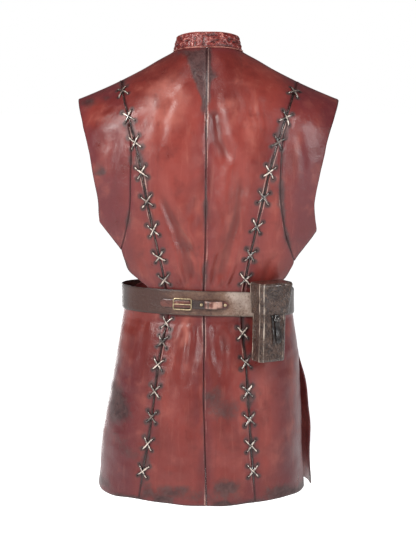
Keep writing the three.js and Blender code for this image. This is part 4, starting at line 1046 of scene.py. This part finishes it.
def join(name, pieces):
    """Several made pieces as one."""
    points, faces, pale_marks, base = [], [], [], 0
    for piece in pieces:
        mesh = piece.data
        corners = np.empty(len(mesh.vertices) * 3, np.float32)
        mesh.vertices.foreach_get("co", corners)
        points.append(corners.reshape(-1, 3) * 1000)
        rub_and_highlight = np.empty(len(mesh.vertices), np.float32)
        mesh.attributes["rub_and_highlight"].data.foreach_get("value", rub_and_highlight)
        pale_marks.append(rub_and_highlight)
        faces += [tuple(base + v for v in polygon.vertices) for polygon in mesh.polygons]
        base += len(mesh.vertices)
    material = pieces[0].data.materials[0]
    for piece in pieces:
        bpy.data.objects.remove(piece)
    return solid(name, np.concatenate(points), faces, material, {"rub_and_highlight": np.concatenate(pale_marks)})


bar = bar_shape()
uneven_turn = np.random.default_rng(17)
for (stretch, side), heights in CROSSES.items():
    spots, rises, headings = [], [], []
    for i, z in enumerate(heights):
        lean = side if i % 3 else -side
        for way, high in ((lean, 0.45), (-lean, 1.9)):
            across = CROSS_ACROSS * np.array([-1, 1])
            x, spot_z = by_seam(side, [z, z], across, CROSS_ALONG * np.array([-1.0, 1.0]) * way)
            ends = on_back(x, spot_z)[0]
            middle, middle_normal = seam_line(side, np.array([float(z)]), high - 0.5)
            spots.append(middle[0])
            rises.append(middle_normal[0])
            swing = uneven_turn.uniform(-0.1, 0.1)
            headings.append(ends[1] - ends[0] + np.cross(middle_normal[0], ends[1] - ends[0]) * swing)
    crosses = scatter("crosses", bar, spots, rises, headings, THONG, 1.0, 0.06)
    last = heights[-1] - (24 if stretch == "skirt" else 6)
    z = np.linspace(heights[0] + 6, last, 24 * len(heights))
    wander = 0.45 * np.sin(z / 7.3 + side) + 0.3 * np.sin(z / 3.1)
    sunk = 1.3 * ease(heights[-1] - 8, heights[-1] - 24, z)
    path, _ = seam_line(side, z, -0.2 + 0.5 * np.sin(z / 8.7) ** 2 - sunk)
    path = path + np.stack([wander, 0 * wander, 0 * wander], -1)
    run = rope("run", path, 1.0, THONG, 7)
    name = f"lacing_{stretch}_{'left' if side > 0 else 'right'}"
    settle(join(name, [crosses, run]), "thong_leather", name)
bpy.data.objects.remove(bar)


def hole_shape():
    """A punched hole: a dark dished disc with a soft rim."""
    # The near-black disc is painted shade standing in for the depth of the hole.
    dark = Finish("punched hole").surface(Base_Color=tint(26, 17, 16), Roughness=0.9)
    turn = np.linspace(0, 2 * math.pi, 12, endpoint=False)[None, :]
    radius, high = np.array([(1.0, 0.02), (1.5, 0.1), (1.6, -0.6)]).T[:, :, None]
    rings = np.stack([radius * np.cos(turn), radius * np.sin(turn), high + 0 * turn], -1)
    return ringed("hole_shape", rings, [(0, 0, 0), (0, 0, -0.6)], np.zeros(rings.size // 3), dark)


hole = hole_shape()
spots, rises = on_back(HOLES[:, 0], HOLES[:, 1], 0.05)
upward = np.tile((0, 0, 1.0), (len(spots), 1))
settle(scatter("lace_holes", hole, spots, rises, upward, hole.data.materials[0]), "thong_leather")
bpy.data.objects.remove(hole)

# ---------------------------------------------------------------- belt
# One wide grey-brown strap of thick leather, burnished at its edges and scratched, wound once round the
# waist. Its outer end laps over its start on the left of the back.
BELT_HIGH, BELT_THICK, SEAT = 45.0, 3.0, 0.45
BELT_TIP, BELT_UNDER, BELT_SETTLE = 88.0, 22.0, -34.0
BELT_TILT, BELT_DIP = 0.034, 5.25
POUCH_X, LOOP_HALF, LOOP_THICK = -97.0, 16.0, 2.0
WAIST_HALF = float(along(FORM, 1, -446.0))


def belt_z(turn):
    """Height of the belt's middle: it sits higher on the left and behind."""
    return BELT_Z + BELT_TILT * WAIST_HALF * np.sin(turn) + BELT_DIP * np.cos(turn)


def turn_at(x):
    return np.arcsin(np.asarray(x) / WAIST_HALF)


def belt_seat(turn, outer_end):
    """Height of the belt's inner face above the leather."""
    x = WAIST_HALF * np.sin(turn)
    behind = np.cos(turn) >= 0
    high = SEAT + 0.15 + outer_end * (BELT_THICK + SEAT) * ease(BELT_SETTLE, BELT_UNDER - 6, x)
    bulge = (LOOP_THICK + 0.7) * ease(LOOP_HALF + 22, LOOP_HALF + 3, np.abs(x - POUCH_X))
    lap = np.where(x > 0, lap_rise(x), (WALL + SEAT) * ease(-62, -FRONT_LAP - 4, x))
    return high + np.where(behind, bulge, lap)


def round_waist(turn, off, high):
    turn, off, high = matched(turn, off, high)
    z = belt_z(turn) + off
    behind = np.cos(turn) >= 0
    out = np.empty(turn.shape + (3,))
    for face, part in ((1, behind), (-1, ~behind)):
        x = half_width(face, 1, z[part]) * np.sin(turn[part])
        at = place(face, x, z[part])
        out[part] = bare(face, *at) + outward(face, *at) * high[part][:, None]
    return out


def on_belt(turn, off, high, outer_end=False):
    turn, off, high = matched(turn, off, high)
    return round_waist(turn, off, high + belt_seat(turn, outer_end))


def strap_leather(name, dark, light, scratch, rough=0.45, coat=0.15):
    """Strap leather: two cloudy shades, fine scratches along the strap, darker burnished edges, and painted
    shade where the edge mark carries it.
    """
    leather = Finish(name)
    at = leather.place()
    cloud = leather.noise(at, 40, 5, 0.6, 0.5)
    speck = leather.noise(at, 260, 5, 0.7, 0.6)
    streak = leather.noise(leather.stretched(at, (70, 70, 420)), 1.0, 5, 0.7, 0.5)
    tone, rub_and_highlight, edges_and_painted_shade = leather.mark("wear"), leather.mark("rub_and_highlight"), leather.mark("painted_shade_and_dark_edge")
    dye = leather.mix((cloud * 0.7 + speck * 0.3 + tone * 0.5 - 0.2).between(0.3, 0.7), dark, light)
    dye = leather.mix(streak.between(0.56, 0.8) * (tone * 0.5 + 0.25), dye, scratch)
    dye = leather.mix((rub_and_highlight + (speck - 0.5) * 0.8).between(0.4, 1.0) * 0.75, dye, scratch)
    dye = leather.mix(speck.between(0.45, 0.3) * 0.6, dye, tint(40, 26, 20))
    dye = leather.mix(edges_and_painted_shade * 0.8, dye, tint(34, 24, 20))
    skin = leather.bump(speck, 0.0012, 0.7)
    skin = leather.bump(cloud, 0.0008, 0.4, skin)
    gloss = rough + (speck - 0.5) * 0.25
    return leather.surface(Base_Color=dye, Roughness=gloss, Normal=skin, Coat_Weight=coat, Coat_Roughness=0.3)


BELT_FINISH = strap_leather(
    "belt leather", tint(64, 34, 25), tint(116, 86, 70), tint(196, 178, 166), 0.38, 0.1)
start, end = float(turn_at(BELT_TIP)), float(turn_at(BELT_UNDER)) - 2 * math.pi
turn = np.linspace(start, end, 620)[:, None]
off = (BELT_HIGH / 2) * np.sin(np.linspace(-1, 1, 23) * math.pi / 2)[None, :]
outer_end = turn > -1
round_edge = 0.9 * np.abs(off / (BELT_HIGH / 2)) ** 12
wave = 0.35 * clouds(turn * 120, off, 26, 61)
outer = on_belt(turn, off, BELT_THICK - round_edge + wave, outer_end)
inner = on_belt(turn, off, 0.4 * round_edge, outer_end)
x_here = outer[..., 0]
# Darker at both long edges (burnished), and painted shade on the wearer's left flank of the back where the
# belt turns away.
edges_and_painted_shade = np.abs(off / (BELT_HIGH / 2)) ** 14 + 0.7 * ease(140, 152, x_here) * ease(-30, 0, outer[..., 1])
back_part = ease(-30, 20, outer[..., 1])
grey = 0.1 + back_part * (ease(98, 50, x_here) * 0.55 - 0.3 + 0.6 * ease(20, -70, x_here))
paler = 0.12 + back_part * (0.9 * ease(-10, -66, x_here) + 0.25 * ease(76, 40, x_here) - 0.08)
# Painted shadow: past the pouch's far side, toward the wearer's right, the belt is painted dark, without its
# grey tone or pale rubs.
painted_side_shadow = ease(-112, -128, x_here) * back_part
paler = paler * (0.85 + 0.5 * clouds(turn * 120, off, 18, 62)) * (1 - painted_side_shadow)
edges_and_painted_shade, grey = np.maximum(edges_and_painted_shade, 0.8 * painted_side_shadow), grey * (1 - painted_side_shadow)
belt = wall("belt", outer, inner, {"wear": grey, "rub_and_highlight": paler, "painted_shade_and_dark_edge": edges_and_painted_shade}, BELT_FINISH)
settle(belt, "belt_leather", "belt")

# ---------------------------------------------------------------- buckle strap
# A narrow red-brown strap along the middle of the belt with a rounded end each way. Its free end goes
# through the buckle and its keeper; it is riveted to the belt with two studs.
STRAP_OFF, STRAP_WIDE, STRAP_THICK = -1.8, 15.5, 2.0
STRAP_START, STRAP_END, KEEPER_START, KEEPER_END = 83, -36, 6, -25
BUCKLE_X, BUCKLE_WIDE, BUCKLE_HIGH, BUCKLE_BAR, BUCKLE_CORNER = 44.3, 35.0, 22.0, 2.6, 3.4
BILLET_HALF = 13.5
STRAP_TOP = BELT_THICK + SEAT + STRAP_THICK
STRAP_FINISH = strap_leather(
    "red strap leather", tint(74, 30, 22), tint(122, 58, 42), tint(200, 156, 138), 0.3, 0.5)


def strip(name, start_x, end_x, wide, thick, high, rub_and_highlight, arch=0, rounded=False, dark_span=(0, 0)):
    """A strap high above the belt's inner face, that may arch, have round ends and be dark in one stretch."""
    long, r = abs(end_x - start_x), wide / 2
    part = np.linspace(0, 1, max(24, int(long * 1.2)))[:, None]
    x = start_x + (end_x - start_x) * part
    room = np.minimum(np.minimum(part, 1 - part) * long, r) if rounded else r
    half = np.maximum(np.sqrt(np.maximum(r * r - (r - room) ** 2, 0)), 0.12 * r)
    across = np.sin(np.linspace(-1, 1, 13) * math.pi / 2)[None, :]
    soft = 0.45 * thick * np.abs(across) ** 8
    lower = high + arch * np.abs(np.sin(math.pi * part)) ** 0.8
    outer = on_belt(turn_at(x), STRAP_OFF + across * half, lower + thick - soft, True)
    inner = on_belt(turn_at(x), STRAP_OFF + across * half, lower + 0.15 * soft, True)
    # Darker over one stretch of the strap, given by its two x values.
    dark_stretch = ease(dark_span[0] + 3, dark_span[0], x) * ease(dark_span[1] - 3, dark_span[1], x)
    shine = rub_and_highlight + 0.35 * clouds(x, across * 6, 6, 71)
    marks = {"wear": 0.2, "rub_and_highlight": shine, "painted_shade_and_dark_edge": np.maximum(0.9 * np.abs(across) ** 6, dark_stretch)}
    settle(wall(name, outer, inner, marks, STRAP_FINISH), "strap_leather", name)


strip("buckle_strap", STRAP_START, STRAP_END, STRAP_WIDE, STRAP_THICK, BELT_THICK + SEAT, 0.2,
      rounded=True, dark_span=(27, 7))
# The keeper's high pale mark is a painted highlight on its arch.
strip("strap_keeper", KEEPER_START, KEEPER_END, 14, 2, STRAP_TOP + SEAT, 0.75, arch=5)
strip("buckle_billet", BUCKLE_X + BILLET_HALF, BUCKLE_X - BILLET_HALF, 13.5, 1.6, STRAP_TOP + SEAT, 0.3)


def belt_frame(x, high):
    """Axes on the belt at x: across its run, up its width, away from it."""
    def at(shift, more):
        return on_belt(turn_at(x + shift), STRAP_OFF, high + more, True)

    origin = at(0, 0)
    out = at(0, 10) - origin
    out /= np.linalg.norm(out)
    across = at(-8, 0) - at(8, 0)
    across /= np.linalg.norm(across)
    up = np.cross(out, across)
    return origin, across, up / np.linalg.norm(up), out


# ---------------------------------------------------------------- brass
# The buckle is a bent brass rod with rounded corners and a tongue across it, and the studs are domed rivets.
# All of it is old brass, brown and bright in cloudy patches.
def old_brass():
    metal = Finish("old brass")
    at = metal.place()
    tarnish = metal.noise(at, 260, 5, 0.65)
    dye = metal.mix(tarnish.between(0.46, 0.7), tint(206, 188, 152), tint(88, 68, 46))
    gloss = 0.3 + tarnish.between(0.4, 0.7) * 0.2
    skin = metal.bump(tarnish, 0.0002, 0.4)
    return metal.surface(Base_Color=dye, Metallic=1.0, Roughness=gloss, Normal=skin)


BRASS = old_brass()
origin, across, up, out = belt_frame(BUCKLE_X, STRAP_TOP + SEAT + 0.5)


def framed(points):
    return origin + points[:, :1] * across + points[:, 1:2] * up + points[:, 2:3] * out


def oblong(width, depth, radius):
    """96 even points round an oblong with round corners."""
    corners = []
    for cx, cy, first in ((1, 1, 0), (-1, 1, 90), (-1, -1, 180), (1, -1, 270)):
        for t in np.radians(first + np.linspace(0, 90, 7)):
            corners.append((cx * (width / 2 - radius) + radius * math.cos(t),
                            cy * (depth / 2 - radius) + radius * math.sin(t), 0))
    return even(np.array(corners + corners[:1]), 97)[:-1]


ring = oblong(BUCKLE_WIDE - BUCKLE_BAR, BUCKLE_HIGH - BUCKLE_BAR, BUCKLE_CORNER) + (0, 0, BUCKLE_BAR / 2)
settle(rope("buckle_frame", framed(ring), 1.1, BRASS, 10, closed=True), "brass_fittings", "buckle_frame")
reach = np.linspace(-1, 1, 25)
tongue_path = np.stack([reach * (BUCKLE_WIDE / 2 - 0.9), 0 * reach, 4.0 - 0.5 * reach**2], -1)
tongue = rope("tongue", framed(tongue_path), np.linspace(0.65, 1.0, 25), BRASS, 10)
settle(tongue, "brass_fittings", "buckle_tongue")


# A stud is a domed rivet on a thin washer: radius and height of its rings.
STUD_PROFILE = [(3.0, 0), (3.0, 0.45), (2.7, 0.6), (2.55, 0.9), (2.3, 1.4), (1.8, 1.85), (1.0, 2.12)]
STUDS = [(1, 11.5), (2, -30)]
for number, x in STUDS:
    origin, across, up, out = belt_frame(x, STRAP_TOP + SEAT)
    turn = np.linspace(0, 2 * math.pi, 24, endpoint=False)[None, :, None]
    radius, high = np.array(STUD_PROFILE).T[:, :, None, None]
    rings = origin + radius * (np.cos(turn) * across + np.sin(turn) * up) + high * out
    piece = ringed(f"rivet_{number}", rings, [origin, origin + 2.2 * out], np.zeros(rings.size // 3), BRASS)
    settle(piece, "brass_fittings", f"stud_{number}")

# ---------------------------------------------------------------- pouch
# A stiff pouch of dark moulded leather on a loop round the belt: an open body, a lid that covers its top
# third, and a strap tied down over it. Its corners and edges are rubbed pale.
pouch_turn = math.radians(28)
pouch_out = np.array([-math.sin(pouch_turn), math.cos(pouch_turn), 0])
pouch_across = np.array([-math.cos(pouch_turn), -math.sin(pouch_turn), 0])
BODY_WIDE, BODY_DEEP, POUCH_TOP, POUCH_FOOT, POUCH_WALL = 51.0, 35.0, -406.0, -543.0, 2.0
LID_WIDE, LID_DEEP, LID_FOOT, LID_FLARE, LID_SHIFT, POUCH_LEAN = 59.0, 41.0, -460.0, 9.0, 1.3, 0.16


def pouch_leather():
    """Dark brown leather that was wetted and moulded: wrinkled and glossy, painted lighter on wrinkle ridges
    as a highlight and darker in the hollows as shade, rubbed pale at corners.
    """
    leather = Finish("moulded pouch leather")
    at = leather.place()
    patch = leather.noise(at, 48, 6, 0.65, 0.8)
    ridge = leather.noise(leather.stretched(at, (1, 1, 0.8)), 105, 5, 0.62, 2.4)
    speck = leather.noise(at, 420, 5, 0.7)
    rub_and_highlight = leather.mark("rub_and_highlight")
    dye = leather.mix(patch.between(0.36, 0.64), tint(44, 26, 20), tint(78, 55, 44))
    # Painted highlight on the wrinkle ridges and painted shade in their hollows, from the same noise as the
    # bump.
    dye = leather.mix(ridge.between(0.52, 0.72) * 0.6, dye, tint(146, 120, 102))
    dye = leather.mix(ridge.between(0.48, 0.34) * 0.75, dye, tint(28, 18, 15))
    dye = leather.mix((rub_and_highlight + (speck - 0.5) * 0.7).between(0.3, 0.8) * 0.9, dye, tint(196, 178, 162))
    skin = leather.bump(ridge, 0.006, 0.9)
    skin = leather.bump(speck, 0.0008, 0.8, skin)
    return leather.surface(Base_Color=dye, Roughness=0.3 + (speck - 0.5) * 0.3, Normal=skin,
                           Coat_Weight=0.7, Coat_Roughness=0.18)


POUCH_FINISH = pouch_leather()
loop_outside = float(belt_seat(turn_at(POUCH_X), False)) + BELT_THICK + SEAT + LOOP_THICK
middle = np.dot(on_back(POUCH_X, BELT_Z, 8.0, False)[0], pouch_across)


def sway(z, body=True):
    """How far the pouch lies to the side at height z: it hangs plumb although it leans out."""
    return -2.3 - 0.055 * (POUCH_TOP - z) - (0.065 * np.maximum(LID_FOOT - z, 0) if body else 0.0)


def pouch_reach():
    """How far out the pouch's back lies at its top, so that it clears the loop, the belt and the skirt."""
    columns, rows = np.arange(POUCH_X - 40, POUCH_X + 51, 2.0), np.arange(POUCH_FOOT, POUCH_TOP + 3.1, 4.0)
    x, z = np.meshgrid(columns, rows)
    lid = z > LID_FOOT
    band = np.abs(z - belt_z(turn_at(x))) < BELT_HIGH / 2 + 3.5
    loop_here = band & (np.abs(x - POUCH_X) <= LOOP_HALF)
    high = np.where(loop_here, loop_outside, np.where(band, belt_seat(turn_at(x), False) + BELT_THICK, 0))
    point = on_back(x, z, high, False)[0]
    across = point @ pouch_across - middle - np.where(lid, sway(z, False) + LID_SHIFT, sway(z))
    inside = np.abs(across) < np.where(lid, LID_WIDE + LID_FLARE, BODY_WIDE) / 2
    return np.max((point @ pouch_out + POUCH_LEAN * (z - POUCH_TOP))[inside])


pouch_most = pouch_reach()


def pouch_near(z):
    return pouch_most - 1.6 - POUCH_LEAN * (z - POUCH_TOP)


def pouch_point(across, out, z):
    """A point of the pouch's own frame: across it, out from its back, at height z."""
    across, out, z = matched(across, out, z)
    flat = (middle + across)[..., None] * pouch_across + (pouch_near(z) + out)[..., None] * pouch_out
    return flat + z[..., None] * np.array([0, 0, 1.0])


def moulded(name, levels, shape, tip_out, tip_in):
    """A moulded box, open at its first level and closed at its last, where both walls run in to their tips.
    shape(level) gives its width, depth, nearness to the belt, shift to the side and corner radius."""
    rings_out, rings_in, pale_marks = [], [], []
    for level in levels:
        width, depth, near, shift, radius = shape(level)
        for inset, rings in ((0.0, rings_out), (POUCH_WALL, rings_in)):
            outline = oblong(width - 2 * inset, depth - 2 * inset, max(radius - inset, 1.5))
            a, b = outline[:, 0], outline[:, 1]
            ripple = 0.7 * clouds(a + 90, b * 1.3 + level, 12, 81)
            ripple += 0.35 * clouds(a * 2 + level, b * 2 + level * 1.7, 9, 82)
            size = 1 + (inset == 0) * ripple / 60
            rings.append(pouch_point(a * size + shift, near + depth / 2 + b * size, level))
        a, b = oblong(width, depth, radius)[:, :2].T
        corner = np.abs(np.abs(a) - width / 2) + np.abs(np.abs(b) - depth / 2)
        paleness = 0.85 + 0.5 * clouds(a + 60, b + level, 14, 83) - 0.5 * (a > 0)
        end = min(abs(level - levels[0]), abs(level - levels[-1]))
        pale_marks.append(np.maximum(paleness * bump_at(corner, 0.59 * radius + 2.8, 1.6), 0.3 * bump_at(end, 0, 2.0)))
    rows, rub_and_highlight = rings_in[::-1] + rings_out, pale_marks[::-1] + pale_marks
    for part, shine in ((0.7, 0.2), (0.35, 0.04)):
        rows.insert(0, tip_in + (rings_in[-1] - tip_in) * part)
        rub_and_highlight.insert(0, pale_marks[-1] * shine)
    for part, shine in ((0.93, 0.2), (0.7, 0.04), (0.35, 0.008)):
        rows.append(tip_out + (rings_out[-1] - tip_out) * part)
        rub_and_highlight.append(pale_marks[-1] * shine)
    piece = ringed(name, np.array(rows), [tip_in, tip_out], np.concatenate(rub_and_highlight), POUCH_FINISH, 60)
    settle(piece, "pouch_leather", name)


BODY_NEAR = POUCH_WALL + 0.8


def body_shape(level):
    slim = 2.5 * ease(POUCH_FOOT + 4, POUCH_FOOT, level) ** 2
    return BODY_WIDE - slim, BODY_DEEP - slim, BODY_NEAR + slim / 2, sway(level), 5.0


foot, inner_foot = pouch_point(sway(POUCH_FOOT), BODY_NEAR + BODY_DEEP / 2, [POUCH_FOOT, POUCH_FOOT + 2.5])
moulded("pouch_body", np.linspace(POUCH_TOP - POUCH_WALL - 1, POUCH_FOOT, 56), body_shape, foot, inner_foot)


def lid_shape(level):
    flare = LID_FLARE * (level - LID_FOOT) / (POUCH_TOP - LID_FOOT)
    top = 3.5 * ease(POUCH_TOP - 4, POUCH_TOP, level)
    width, depth = LID_WIDE + flare - top, LID_DEEP + 0.5 * flare - top
    return width, depth, top / 2, sway(level, False) + LID_SHIFT + 0.4 * flare, 6.0


CROWN_SHIFT, CROWN_OUT = 2.6, 22.7
crown, inner_crown = pouch_point(CROWN_SHIFT, CROWN_OUT, [POUCH_TOP + 0.3, POUCH_TOP - 2.0])
moulded("pouch_lid", np.linspace(LID_FOOT, POUCH_TOP, 34), lid_shape, crown, inner_crown)

# The loop that carries the pouch goes round the belt.
turn = turn_at(np.linspace(POUCH_X - LOOP_HALF, POUCH_X + LOOP_HALF, 17))[:, None]
tall = BELT_HIGH / 2 + 1
path = []
for inset in (0.0, LOOP_THICK):
    low, high, reach = SEAT + inset, loop_outside - inset, tall + LOOP_THICK - inset
    side_run = np.linspace(-1, 1, 9)
    off = np.concatenate([side_run * reach, [reach] * 3, side_run[::-1] * reach, [-reach] * 3])
    rise = np.linspace(low, high, 5)[1:-1]
    lift = np.concatenate([[low] * 9, rise, [high] * 9, rise[::-1]])
    path.append(round_waist(turn, off[None, :], lift[None, :]))
outer, inner = (np.transpose(p, (1, 0, 2)) for p in path)
loop_piece = wall("pouch_loop", outer, inner, {"rub_and_highlight": 0.15 + 0 * outer[..., 0]}, POUCH_FINISH, loop=True)
settle(loop_piece, "pouch_leather", "pouch_loop")

# The closing strap and thong hang from a knot under the lid.
KNOT_FINISH = thong_leather("waxed closing thong", tint(20, 15, 14), tint(52, 38, 33), 0.3)
face = BODY_NEAR + BODY_DEEP + SEAT
length = np.linspace(0, 1, 30)[:, None]
across = np.sin(np.linspace(-1, 1, 11) * math.pi / 2)[None, :]
for name, shift, wide, thick, long in [("pouch_strap", 7, 9, 2, 50), ("pouch_thong", -2, 4, 2, 50)]:
    narrow = np.sqrt(np.clip(1 - np.maximum((length - 0.93) / 0.07, 0) ** 2, 0.06, 1))
    z = LID_FOOT - 2 - long * length
    curl = 0.8 * np.sin(length * 5 + shift) ** 2
    soft = 0.4 * np.abs(across) ** 6
    beside = sway(LID_FOOT - 2 - long / 2) + shift + across * narrow * wide / 2
    outer = pouch_point(beside, face + thick + curl - soft, z)
    inner = pouch_point(beside, face + curl * 0.5 + soft * 0.2, z)
    settle(wall(name, outer, inner, {"rub_and_highlight": 0.2 + 0 * outer[..., 0]}, KNOT_FINISH), "thong_leather", name)
t = np.linspace(0, 2 * math.pi, 60, endpoint=False)
knot_across = sway(LID_FOOT - 8) + 3.5 + 4.2 * np.sin(2 * t)
knot_path = pouch_point(knot_across, face + 5.2 + 1.5 * np.cos(3 * t), LID_FOOT - 8 + 3.2 * np.sin(3 * t))
settle(rope("pouch_knot", knot_path, 1.6, KNOT_FINISH, 8, closed=True), "thong_leather", "pouch_knot")
